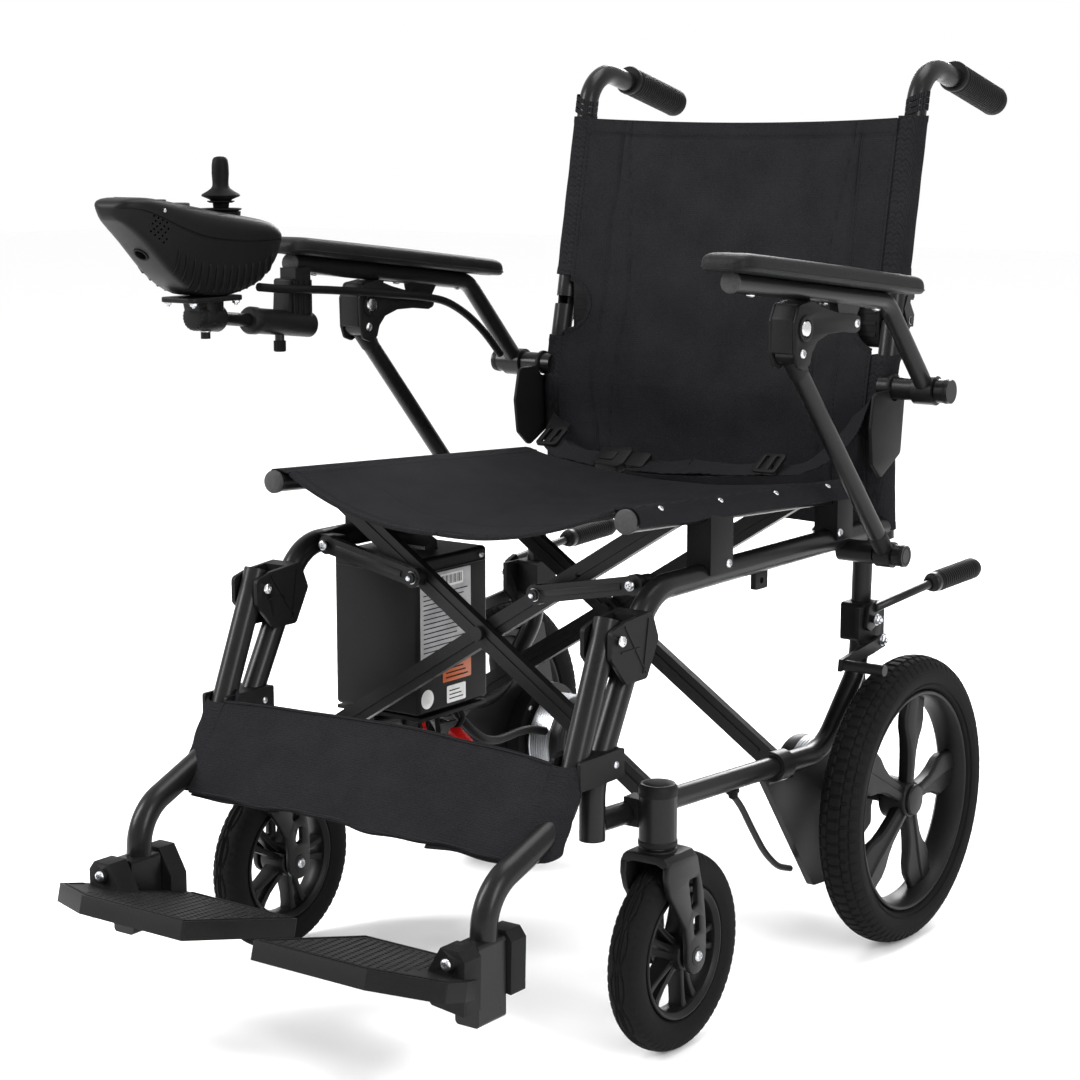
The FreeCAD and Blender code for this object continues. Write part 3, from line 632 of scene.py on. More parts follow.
def cane_y(z):
    """Front to back place of the back tube's axis at a height."""
    if z < 587:
        y = 56 - (z - 436) * 10 / 151
    elif z < 675.5:
        y = 46 + (z - 587) * 19 / 88.5
    else:
        y = 65 + (z - 675.5) * 0.1946
    return y + 0.9 * math.exp(-((z - 587) / 10) ** 2)


def back_surface(x, z):
    """Front of the back sling: taut between the tubes, a little slack and creased in the middle."""
    w = max(0.0, 1 - (abs(x) / 207) ** 2.4)
    y = cane_y(z) - 13.2 + 15 * w
    y += w ** 0.5 * (3.6 * math.sin((z - 0.62 * x) / 31 + 0.6) * (0.6 + 0.4 * math.sin(z / 83 + 1))
                     + 1.3 * math.sin((z - 0.9 * x) / 15.5 + x / 70))
    y += 3.4 * w ** 0.5 * (noise.noise(Vector((x * 0.009, z * 0.006, 1.7))))
    edge = 158 + 3 * math.sin((z - 445) / 145)
    y += -0.8 / (1 + math.exp(-(abs(x) - edge) / 1.0)) + 2.3 * groove(abs(x) - edge, 1.7)
    bow = 150 - 20 * math.sin(math.pi * min(max((z - 470) / 400, 0), 1))
    y += 2.0 * groove(abs(x) - bow, 1.6)
    return y


def back_point(x, z, lift=0.0):
    return (x, back_surface(x, z) - lift, z)


def top_edge(x):
    return 897 - 6 * (1 - (x / 221) ** 2)


HINGE_Z, CUT_W, CUT_H = 676.0, 43.0, 34.0


def strip_end(z):
    """Half width of the hinge strip, which has a D cut out beside each back tube."""
    t = (z - HINGE_Z) / CUT_H
    return 221 - CUT_W * math.sqrt(1 - t * t) if abs(t) < 0.944 else 207.0


def back_panel(side, z0, z1, top=False):
    rows = []
    count = int(abs(z1 - z0) / 3)
    for i in range(count + 1):
        row = []
        for k in range(70):
            x = -0.4 + 207.4 * k / 69
            high = top_edge(x) if top else z1
            z = lerp(z0, high, i / count)
            y = back_surface(x, z)
            if top:
                y += 1.3 * groove(high - z - 17, 1.4) - (0.9 if high - z < 16 else 0)
            row.append((side * x, y, z))
        rows.append(row)
    return grid(rows)


def sleeve_ring(z, r=13.4):
    y = cane_y(z)
    ring = [(-15.0, -12.9), (-8.0, -13.6)]
    for k in range(18):
        a = math.radians(-18 + 15 * k)
        ring.append((r * math.sin(a), -r * math.cos(a)))
    ring.append((-15.6, -11.0))
    return [(FRAME_X + a, y + b, z) for a, b in ring]


def back_sleeve(z0, z1):
    """Pocket round the back tube, with small puckers at its seam."""
    rings = []
    for i in range(61):
        z = lerp(z0, z1, i / 60)
        pucker = 0.5 * noise.noise(Vector((z * 0.05, 4.0, 0))) + 0.35 * math.sin(z / 9.0)
        end = min(z - z0, z1 - z)
        rings.append(sleeve_ring(z, 13.5 + pucker * (0.4 if end > 6 else 0.1) + (0.5 if end < 9 else 0)))
    build = Build()
    build.rings(rings, caps=False)
    return build


def stitches(build, line, step=5.5, length=3.4, r=0.34):
    """Separate threads along a line of points."""
    points = [Vector(p) for p in line]
    gone = 0.0
    for a, b in zip(points, points[1:]):
        d = b - a
        while gone < d.length:
            p = a + d * (gone / d.length)
            q = p + d.normalized() * length
            build.sweep([p, (p + q) / 2 + Vector((0, -0.15, 0)), q], ring_section(r, 5))
            gone += step
        gone -= d.length


def side_stitches(side):
    lower, upper = Build(), Build()
    for build, lo, hi in ((lower, 450, 640), (upper, 714, 880)):
        zs = [lerp(lo, hi, i / 30) for i in range(31)]
        stitches(build, [back_point(side * (161.5 + 3 * math.sin((z - 445) / 145)), z, 1.0) for z in zs])
        stitches(build, [back_point(side * 203, z, 1.0) for z in zs])
    xs = [4 + 196 * i / 40 for i in range(41)]
    stitches(upper, [back_point(side * x, top_edge(x) - 14, 1.8) for x in xs])
    stitches(lower, [back_point(side * x, 455, 1.0) for x in xs])
    return lower, upper


def add_back():
    for name, side in SIDES:
        frame_body, back_body = name + "_frame", name + "_back"
        lower = back_panel(side, 446, 637)
        piece = lower.piece(name + "_back_panel_lower", frame_body, "fabric", thick=1.4, sharp=60,
                            replaces=("back_sling_lower",))
        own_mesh(piece)
        upper = back_panel(side, 715, 897, top=True)
        piece = upper.piece(name + "_back_panel_upper", back_body, "fabric", thick=1.4, sharp=60,
                            replaces=("back_sling_upper",))
        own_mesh(piece)
        rows = []
        zs = sorted([637 + 78 * i / 26 for i in range(27)]
                    + [HINGE_Z + CUT_H * math.sin(math.radians(a)) for a in range(-68, 69, 8)])
        for z in zs:
            end = strip_end(z)
            rows.append([(side * x, back_surface(x, z), z) for x in
                         [-0.4 + (end + 0.4) * k / 69 for k in range(70)]])
        strip = grid(rows).piece(name + "_back_hinge_strip", frame_body, "fabric", thick=1.4, sharp=60)
        strip.parent = None
        del strip["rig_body"]
        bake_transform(strip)
        loop = [(side * strip_end(HINGE_Z + CUT_H * t), 0, HINGE_Z + CUT_H * t)
                for t in [math.sin(math.radians(a)) for a in range(-70, 71, 5)]]
        path = [(x, back_surface(abs(x), z) - 0.2, z) for x, _, z in loop]
        tape = Build()
        tape.sweep(path, [(-2.6, -1.3), (2.6, -1.3), (2.8, 0), (2.6, 1.3), (-2.6, 1.3), (-2.8, 0)],
                   up=(0, 1, 0))
        tape = tape.piece(name + "_back_cut_out_binding", frame_body, "binding")
        tape.parent = None
        del tape["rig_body"]
        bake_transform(tape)
        back_sleeve(446, 640).mirrored(side).piece(name + "_back_sleeve_lower", frame_body, "fabric_side",
                                                   sharp=60)
        back_sleeve(712, 899).mirrored(side).piece(name + "_back_sleeve_upper", back_body, "fabric_side",
                                                   sharp=60)
        cuff = Build()
        for i in range(3):
            z = 899 + 7 * i
            cuff.rings([[(FRAME_X + 13.2 * math.cos(a), cane_y(h) + 13.2 * math.sin(a),
                          h + 5 * math.cos(a) + 2)
                         for a in [math.pi * 2 * k / 24 for k in range(24)]] for h in (z, z + 5.5)],
                       caps=False)
        cuff.mirrored(side).piece(name + "_back_corner_cuff", back_body, "binding")
        hem = Build()
        xs = [205 * k / 60 for k in range(61)]
        hem.sweep([(side * x, back_surface(x, top_edge(x)) - 0.2, top_edge(x) - 1.5) for x in xs],
                  [(-1.6, -2.2), (1.6, -2.2), (1.9, 0.4), (0.9, 2.0), (-0.9, 2.0), (-1.9, 0.4)])
        hem = hem.piece(name + "_back_top_hem", back_body, "binding")
        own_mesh(hem)
        threads = side_stitches(side)
        for build, body, label in ((threads[0], frame_body, "lower"), (threads[1], back_body, "upper")):
            thread = build.piece("%s_back_stitches_%s" % (name, label), body, "thread")
            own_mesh(thread)


def seat_point(x, y, lift=0.0):
    """Top of the seat sling in the raked frame, turned to the chair's."""
    a = abs(x) / 205
    w = max(0.0, 1 - a ** 2.5)
    front = max(0.0, min(1.0, (-y - 40) / 120))
    sag = (27 + 15 * groove(y + 475, 120)) * w * (0.72 + 0.28 * front)
    n = RAIL_H + 10.6 - sag
    drift = 1.6 * noise.noise(Vector((x * 0.01, y * 0.008, 9.0)))
    n += w ** 0.5 * (0.9 * math.sin((y + 0.8 * abs(x)) / 31) + drift)
    rim = seat_front(x) + 9
    n -= 0.9 * groove(y - rim, 1.5)
    arc = -360 + 0.0016 * (x ** 2) - 60
    n -= 0.7 * groove(y - arc, 1.6) * (1 if abs(x) < 150 else 0)
    return raked(x, y, n + lift)


def seat_front(x):
    return -466 - 13 * (1 - (x / 221) ** 2)


def add_seat():
    for name, side, body in (("left", 1, "brace_b_body"), ("right", -1, "brace_a_body")):
        rows = []
        for i in range(150):
            row = []
            for k in range(70):
                x = -0.4 + 205.4 * k / 69
                y = lerp(seat_front(x), -34, i / 149)
                p = seat_point(x, y)
                row.append((side * p[0], p[1], p[2]))
            rows.append(row)
        build = grid(rows)
        piece = build.piece(name + "_seat_panel", body, "fabric_seat", thick=1.6, sharp=60,
                            replaces=("seat_sling",))
        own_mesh(piece)
        edge = Build()
        xs = [1 + 203 * k / 60 for k in range(61)]
        path = [seat_point(x, seat_front(x), -0.6) for x in xs]
        edge.sweep(path, [(-2.0, -2.4), (2.0, -2.4), (2.3, 0.4), (1.2, 1.9), (-1.2, 1.9), (-2.3, 0.4)])
        edge = edge.mirrored(side).piece(name + "_seat_front_hem", body, "binding")
        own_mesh(edge)
        thread = Build()
        stitches(thread, [seat_point(x, seat_front(x) + 12, 0.9) for x in xs])
        stitches(thread, [seat_point(201, y, 0.9) for y in range(-455, -40, 10)])
        thread = thread.mirrored(side).piece(name + "_seat_stitches", body, "thread")
        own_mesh(thread)
        section = [(-16.0, 10.4), (-11, 11.0), (-6, 12.4), (0, 13.0), (6, 12.2), (10.5, 9.0), (13.0, 4.6),
                   (13.8, -0.5), (13.2, -5.0)]
        rows = []
        for i in range(110):
            y = lerp(-471, -30, i / 109)
            wave = 1.3 * noise.noise(Vector((y * 0.02, 2.0, 0))) + 0.7 * math.sin(y / 17)
            ring = []
            for k, (a, b) in enumerate(section):
                out = 1 + (0.05 * wave if k > 4 else 0)
                ring.append(raked(FRAME_X + a * out, y, RAIL_H + b * out))
            rows.append(ring)
        grid(rows).mirrored(side).piece(name + "_seat_edge", body, "fabric_side", thick=1.6, sharp=60)
        for y in (-430, -322, -214, -106, -58):
            spot, tip = raked(FRAME_X + 9.2, y, RAIL_H + 10.4), raked(FRAME_X + 10, y, RAIL_H + 11.6)
            axis = Vector(tip) - Vector(spot)
            screw(body, (side * spot[0], spot[1], spot[2]), (side * axis[0], axis[1], axis[2]), 3.2, "cross")
        cap = Build()
        head = raked(FRAME_X, -474, RAIL_H)
        cap.lathe([(0, 12.1), (2.5, 12.1), (4.2, 11.2), (5.6, 8.6), (6.3, 5.0), (6.5, 0.01)], head,
                  (0, -1, 0.0547), 32)
        cap.mirrored(side).piece(name + "_rail_plug", body, "key", sharp=30)


def calf_point(x, t, lift=0.0):
    """Front of the calf strap: t runs from its top edge to its bottom edge."""
    w = max(0.0, 1 - (abs(x) / 207) ** 2.2)
    y, z = lerp(-556.5, -611, t), lerp(306, 226, t)
    back = w * lerp(20, 9, t)
    crease = w ** 0.6 * (2.6 * math.sin((x * 0.9 - t * 95) / 24 + 1.0) * (0.4 + 0.6 * t)
                         + 1.3 * math.sin((x - t * 60) / 11 + 2) * t)
    back += crease + 2.0 * noise.noise(Vector((x * 0.012, t * 1.4, 5.0)))
    back -= 0.9 * groove((t - 0.88) * 97, 1.5)
    return (x, y + back * 0.83 - lift * 0.83, z + back * 0.5 - w * 7 - lift * 0.5)


def add_calf_strap():
    for name, side in SIDES:
        body = name + "_leg_rest"
        rows = [[calf_point(side * (-0.4 + 207.4 * k / 79), i / 36) for k in range(80)] for i in range(37)]
        replaced = ("calf_strap",)
        piece = grid(rows).piece(name + "_calf_panel", body, "fabric", thick=1.8, sharp=60, replaces=replaced)
        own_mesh(piece)
        wrap = Build()
        rings = []
        for i in range(19):
            t = i / 18
            y, z = lerp(-556.5, -611, t), lerp(306, 226, t)
            axis_y = lerp(-543.5, -580.5, t)
            ring = [(206, y, z), (214, y - 1.2, z - 0.6)]
            for k in range(13):
                a = math.radians(-75 + 15 * k)
                r = 15.2 + 0.6 * math.sin(t * 19)
                ring.append((FRAME_X + r * math.cos(a), lerp(axis_y, y + 14, 0.4) + r * math.sin(a),
                             z + 4 + 4 * math.sin(a)))
            ring += [(206, y + 20 - 6 * t, z + 10), (197, y + 12 - 5 * t, z + 6)]
            rings.append(ring)
        wrap.rings(rings, close=False, caps=False)
        wrap.mirrored(side).piece(name + "_calf_wrap", body, "fabric_side", thick=1.8, sharp=60)
        tab = Build()
        rows = []
        for i in range(9):
            t = 0.55 + 0.53 * i / 8
            rows.append([(side * x, calf_point(x, t)[1] + 5.5, calf_point(x, t)[2] + 1) for x in
                         [205 - 112 * k / 24 for k in range(25)]])
        tab.rings(rows, close=False, caps=False)
        tab = tab.piece(name + "_calf_tab", body, "fabric", thick=2.0, sharp=60)
        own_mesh(tab)
        hem = Build()
        for t in (0.0, 1.0):
            hem.sweep([calf_point(side * (1 + 205 * k / 60), t) for k in range(61)],
                      [(-1.5, -1.8), (1.5, -1.8), (1.9, 0), (1.5, 1.8), (-1.5, 1.8), (-1.9, 0)],
                      up=(0, -0.5, 0.8))
        hem = hem.piece(name + "_calf_hem", body, "binding")
        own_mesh(hem)
        thread = Build()
        for t in (0.09, 0.88):
            stitches(thread, [calf_point(side * (3 + 200 * k / 50), t, 1.2) for k in range(51)])
        thread = thread.piece(name + "_calf_stitches", body, "thread")
        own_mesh(thread)


def strap(build, path, width, normals, thick=1.5):
    """Flat webbing along a path; each point has the direction that its face looks."""
    points = smooth_path(path, 8)
    faces = [Vector(v).normalized() for v in smooth_path(normals, 8)]
    rings = []
    for i, p in enumerate(points):
        p = Vector(p)
        d = (Vector(points[min(i + 1, len(points) - 1)]) - Vector(points[max(i - 1, 0)])).normalized()
        across = d.cross(faces[i]).normalized()
        up = across.cross(d).normalized()
        h, t = width / 2, thick / 2
        rings.append([p + across * a + up * b for a, b in
                      ((-h, -t), (0, -t * 1.1), (h, -t), (h + 0.4, 0), (h, t), (0, t * 1.1), (-h, t),
                       (-h - 0.4, 0))])
    build.rings(rings)


def laid_on_seat(spot, tilt=math.radians(32)):
    """Rule that tips a belt fitting back against the seat and moves it to its spot."""
    def lie(p):
        v = Vector((p.x, p.y * math.cos(tilt) - p.z * math.sin(tilt),
                    p.y * math.sin(tilt) + p.z * math.cos(tilt)))
        return v + Vector(spot)
    return lie


def add_belt():
    """Lap belt along the back of the seat; its buckle lies to the right of the middle."""
    for name, side in SIDES:
        build = Build()
        if side > 0:
            strap(build, [(205, 70, 612), (203, 38, 585), (196, 20, 556), (176, 8, 532), (144, 6, 513),
                          (104, 5, 507), (60, 4, 504), (20, 6, 502), (0.3, 6, 500.5)], 25,
                  [(-0.6, -0.8, 0.1), (-0.6, -0.8, 0.2), (-0.4, -0.8, 0.4), (-0.2, -0.7, 0.7), (0, -0.4, 0.9),
                   (0, -0.35, 0.9), (0, -0.4, 0.9), (0, -0.5, 0.8), (0, -0.52, 0.8)])
            strap(build, [(108, 1, 513), (84, -5, 508), (52, -7, 505), (24, -4, 505), (0.3, -2, 504)], 25,
                  [(0, -0.5, 0.85), (0, -0.4, 0.9), (0, -0.3, 0.9), (0, -0.4, 0.9), (0, -0.5, 0.8)])
        else:
            strap(build, [(-0.3, 6, 500.5), (-24, 6, 498.5), (-50, 6, 498), (-78, 6, 499)], 25,
                  [(0, -0.52, 0.8), (0, -0.5, 0.85), (0, -0.5, 0.85), (0, -0.55, 0.8)])
            strap(build, [(-0.3, -2, 504), (-26, -5, 501), (-52, -6, 500), (-76, -2, 501)], 25,
                  [(0, -0.5, 0.8), (0, -0.4, 0.9), (0, -0.3, 0.9), (0, -0.5, 0.8)])
            strap(build, [(-205, 52, 556), (-205, 34, 538), (-202, 18, 524), (-190, 8, 514), (-160, 5, 504),
                          (-130, 5, 500), (-112, 6, 500)], 25,
                  [(0.6, -0.8, 0.3), (0.4, -0.8, 0.5), (0.3, -0.7, 0.6), (0.2, -0.6, 0.8), (0.1, -0.5, 0.85),
                   (0, -0.5, 0.85), (0, -0.55, 0.8)])
            strap(build, [(-196, 3, 520), (-176, -5, 510), (-152, -6, 506), (-124, -3, 503)], 25,
                  [(0.2, -0.6, 0.8), (0.1, -0.5, 0.85), (0, -0.4, 0.9), (0, -0.5, 0.8)])
        replaced = ("lap_belt",) if side > 0 else ()
        belt = build.piece(name + "_belt_webbing", name + "_frame", "webbing", sharp=50, replaces=replaced)
        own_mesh(belt)
    buckle = Build()
    lie = laid_on_seat((-92, 2, 503))
    body = rounded([(-34, -15), (2, -19), (8, -12), (8, 12), (2, 19), (-34, 15)], 5)
    buckle.plate([body], -4, 7, "xy", 2.0, lie)
    buckle.plate([rounded([(6, -11), (34, -14), (34, 14), (6, 11)], 4)], -2.5, 4.5, "xy", 1.2, lie)
    buckle.plate([rounded([(-30, -8), (-8, -9), (-8, 9), (-30, 8)], 4)], 6, 8.2, "xy", 0.8, lie)
    obj = buckle.piece("belt_buckle", "right_frame", "plate", sharp=30)
    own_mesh(obj)
    for name, side, spot in (("left", 1, (104, 3, 515)), ("right", -1, (-198, 7, 523))):
        slide = Build()
        lie = laid_on_seat(spot)
        slots = [rounded([(a, -12), (a + 5, -12), (a + 5, 12), (a, 12)], 1.5) for a in (-9, 4)]
        slide.plate([rounded([(-15, -17), (15, -17), (15, 17), (-15, 17)], 5)] + slots, -2, 2.4, "xy", 0.8,
                    lie)
        obj = slide.piece(name + "_belt_adjuster", name + "_frame", "plate", sharp=30)
        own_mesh(obj)


# ---- wheels ---------------------------------------------------------------------------------------
def tyre(half, outer, inner, pitches, depth, rows, wavy=False):
    """Profile of a tyre and the rule that cuts its tread."""
    profile = [(-half * 0.60, inner), (-half * 0.80, inner + 2.5), (-half * 0.95, inner + 9),
               (-half, inner + (outer - inner) * 0.42), (-half * 0.98, inner + (outer - inner) * 0.62)]
    steps = 30
    tread = len(profile)
    for i in range(steps + 1):
        a = math.pi * (0.10 + 0.80 * i / steps)
        profile.append((-half * 0.95 * math.cos(a), outer - half * 0.62 + half * 0.62 * math.sin(a)))
    profile += [(-s, r) for s, r in profile[:tread][::-1]]
    per = 8

    def cut(k, i, r):
        if i < tread or i > tread + steps:
            return r
        s = abs(profile[i][0]) / half
        if wavy:
            wave = 0.10 * math.sin(2 * math.pi * k / (per * 2))
            near = min(abs(s - 0.30 - wave), abs(s - 0.06))
            notch = s > 0.62 and k % 4 == 0
            return r - depth * (1.0 if near < 0.055 else 0.0) - (depth * 0.7 if notch else 0.0)
        row = min(int(s * rows), rows - 1)
        edge = abs(s * rows - round(s * rows)) < 0.14 and s > 0.1
        shift = (0, per // 2, per // 4)[row % 3]
        slit = (k + shift) % per in (0, 1)
        return r - depth * (1.0 if edge or slit else 0.0)

    return profile, cut, pitches * per


def add_rear_wheel(name, side):
    body = name + "_rear_wheel"
    x, yz = 281.5, (0, 159)
    centre, axis = (x, *yz), (1, 0, 0)
    build = Build()
    profile, cut, count = tyre(23, 159, 122.4, 78, 1.9, 3)
    build.lathe(profile, centre, axis, count, closed=True, radius=cut)
    for r in (128.5, 141.5):
        build.lathe([(21.3 if r < 135 else 22.6, r - 0.9), (22.0 if r < 135 else 23.1, r),
                     (21.6 if r < 135 else 22.9, r + 0.9)],
                    centre, axis, 96, closed=True)
    build.mirrored(side).piece(name + "_tyre", body, "tyre", sharp=25, replaces=(name + "_rear_tyre",))
    rim = Build()
    rim.lathe([(15.5, 121.9), (17.2, 121.0), (17.6, 119.4), (16.6, 117.6), (14.2, 116.2), (8, 113.6),
               (-6, 110.8),
               (-13, 112.8), (-17, 117.6), (-17.2, 121.2), (-15, 121.9)], centre, axis, 128, closed=True)
    rim.lathe([(-19.2, 20), (-17, 23), (-4, 22), (2, 20), (9, 20.5), (11.5, 19.4), (12.4, 17.6)], centre,
              axis, 48)
    rim.lathe([(12.0, 17.2), (15.6, 17.0), (17.0, 15.4), (17.8, 11), (18.2, 0.01)], centre, axis, 48)
    stations = [(17, 9.5, 11.0, 15), (34, 9.8, 9.8, 15), (52, 11.2, 8.4, 15), (66, 15.5, 7.2, 14),
                (78, 22.0, 6.2, 13),
                (90, 24.5, 5.4, 12), (101, 22.5, 5.0, 11), (109, 21.0, 5.2, 10), (116, 22.0, 5.4, 9)]
    for i in range(5):
        turn = math.radians(12.5 + 72 * i)
        rings = []
        for r, w, face, deep in stations:
            section = [(-w, face - 3.4), (-w + 1.8, face - 0.8), (-w + 4, face), (-1.4, face + 0.4),
                       (-0.4, face - 0.2),
                       (0.4, face - 2.0), (w - 4, face - 2.6), (w - 1.8, face - 3.2), (w, face - 5.4),
                       (w - 1.5, face - deep), (-w + 1.5, face - deep)]
            ring = []
            for a, b in section:
                y = r * math.sin(turn) + a * math.cos(turn)
                z = r * math.cos(turn) - a * math.sin(turn)
                ring.append((x + b, yz[0] + y, yz[1] + z))
            rings.append(ring)
        rim.rings(rings)
    rim.mirrored(side).piece(name + "_rear_wheel_rim", body, "rim", sharp=28, bevel=0.7,
                             replaces=(name + "_rear_rim",))


def add_caster(name, side):
    body = name + "_caster_wheel"
    x, yz = 254.5, (-421.7, 98.4)
    centre, axis = (x, *yz), (1, 0, 0)
    build = Build()
    profile, cut, count = tyre(17, 98.4, 66.2, 30, 1.5, 3, wavy=True)
    build.lathe(profile, centre, axis, count, closed=True, radius=cut)
    build.mirrored(side).piece(name + "_caster_rubber", body, "tyre", sharp=25,
                               replaces=(name + "_caster_tyre",))
    rim = Build()
    rim.lathe([(12.6, 66.0), (14.2, 65.2), (14.4, 63.8), (13.0, 61.6), (10.6, 59.0), (4, 57.2), (-4, 57.2),
               (-10.6, 59.0),
               (-13.0, 61.6), (-14.4, 63.8), (-14.2, 65.2), (-12.6, 66.0)], centre, axis, 96, closed=True)
    rim.lathe([(-17.3, 9), (-17.3, 14.5), (-15.5, 16.4), (-8, 18), (8, 18), (15.5, 16.4), (17.3, 14.5),
               (17.3, 9)],
              centre, axis, 40)
    for i in range(5):
        for split in (-1, 1):
            rings = []
            for r, spread, w, deep in ((13, 3.5, 3.6, 10), (26, 4.6, 3.0, 9), (40, 6.4, 2.9, 8),
                                       (52, 8.6, 3.6, 8),
                                       (60, 10.2, 4.6, 9)):
                turn = math.radians(18 + 72 * i)
                ring = []
                for a, b in ((-w, -deep), (w, -deep), (w, deep - 1.2), (w - 1.2, deep), (-w + 1.2, deep),
                             (-w, deep - 1.2)):
                    a += split * spread
                    ring.append((x + b, yz[0] + r * math.sin(turn) + a * math.cos(turn),
                                 yz[1] + r * math.cos(turn) - a * math.sin(turn)))
                rings.append(ring)
            rim.rings(rings)
    rim.mirrored(side).piece(name + "_caster_wheel_rim", body, "rim", sharp=28, bevel=0.5,
                             replaces=(name + "_caster_rim",))
    add_fork(name, side, x, yz)


def add_fork(name, side, x, yz):
    """Cast fork: a rounded bridge over the tyre and two swept legs with two windows each."""
    body = name + "_caster"
    stem = -451.0
    y0, z0 = yz
    fork = Build()
    front = [(stem - 23, 203), (stem - 24, 186), (stem - 19, 170), (stem - 6, 152), (y0 - 20, 130),
             (y0 - 16.5, 112)]
    end = [(y0 - 16 * math.cos(math.radians(a)), z0 - 2 - 16 * math.sin(math.radians(a)))
           for a in range(0, 181, 20)]
    rear = [(y0 + 16.5, 116), (y0 + 15, 134), (y0 + 11, 160), (stem + 33, 184), (stem + 28, 203)]
    outline = rounded(front + end + rear, [9] + [0] * (len(front + end + rear) - 2) + [9])
    holes = [rounded([(y0 - 16, 178), (y0 - 1, 178), (y0 + 1, 150), (y0 - 10, 147)], 2.5),
             rounded([(y0 - 7, 138), (y0 + 4, 139), (y0 + 5, 122), (y0 - 5, 120)], 2.5)]
    for inner, outer in ((20.6, 27.8), (-27.8, -20.6)):
        fork.plate([outline] + holes, x + inner, x + outer, "yz", 1.6)
    ring_points = [(-27.6, 196), (-27.0, 203), (-23, 206.8), (-14, 207.6), (14, 207.6), (23, 206.8),
                   (27.0, 203),
                   (27.6, 196), (21, 197), (14, 199.8), (-14, 199.8), (-21, 197)]
    rings = []
    for y, k in ((stem - 22.5, 0.94), (stem - 19, 1.0), (stem, 1.0), (stem + 22, 1.0), (stem + 26.5, 0.95)):
        rings.append([(x + a * k, y, 198 + (b - 198) * k) for a, b in ring_points])
    fork.rings(rings)
    fork.pin((x, stem, 206), (x, stem, 209.5), 18.6, 1.2, 40)
    fork.pin((x, stem, 200), (x, stem, 260.5), 7.9, 0.6, 24)
    for hand in (-1, 1):
        fork.pin((x + hand * 20.2, *yz), (x + hand * 17.5, *yz), 8, 0.5)
        fork.pin((x + hand * 27, *yz), (x + hand * 28.6, *yz), 9.5, 0.5, 28)
    fork.pin((x - 28, *yz), (x + 28, *yz), 4.9)
    fork.mirrored(side).piece(name + "_cast_fork", body, "fork", sharp=32, bevel=0.5,
                              replaces=(name + "_caster_fork",))
    for hand in (-1, 1):
        screw(body, (side * (x + hand * 28.4), *yz), (side * hand, 0, 0), 5.4, "cross")
    collar = Build()
    collar.lathe([(0, 9), (0, 11.4), (2.0, 11.4), (2.0, 9)], (x, stem, 209.5), (0, 0, 1), 32)
    collar.mirrored(side).piece(name + "_stem_collar", body, "zinc", sharp=30)


def add_wheels():
    for name, side in SIDES:
        add_rear_wheel(name, side)
        add_caster(name, side)


# ---- armrests ---------------------------------------------------------------------------------------
ARM_PIVOT, ARM_BEND, ARM_FRONT = (42.0, 605.5), (-57.0, 708.0), (-366.0, 743.0)
PLATE_PIN, STRUT_TOP, STRUT_FOOT, BUTTON = (-146.5, 691.0), (-255.0, 668.0), (-42.0, 437.0), (-251.0, 692.5)
ARM_SLOPE = (ARM_FRONT[1] - ARM_BEND[1]) / (ARM_FRONT[0] - ARM_BEND[0])


def arm_z(y):
    return ARM_BEND[1] + ARM_SLOPE * (y - ARM_BEND[0])


def pad_section(t):
    """Half width and height of the pad's section, t running from its front to its rear."""
    nose = math.sqrt(max(0.0, 1 - max(0.0, (0.07 - t) / 0.07) ** 2.2))
    tail = math.sqrt(max(0.0, 1 - max(0.0, (t - 0.965) / 0.035) ** 2.2))
    return 28.5 * (0.55 + 0.45 * nose) * (0.8 + 0.2 * tail), 19.0 * (0.42 + 0.58 * nose) * (0.7 + 0.3 * tail)


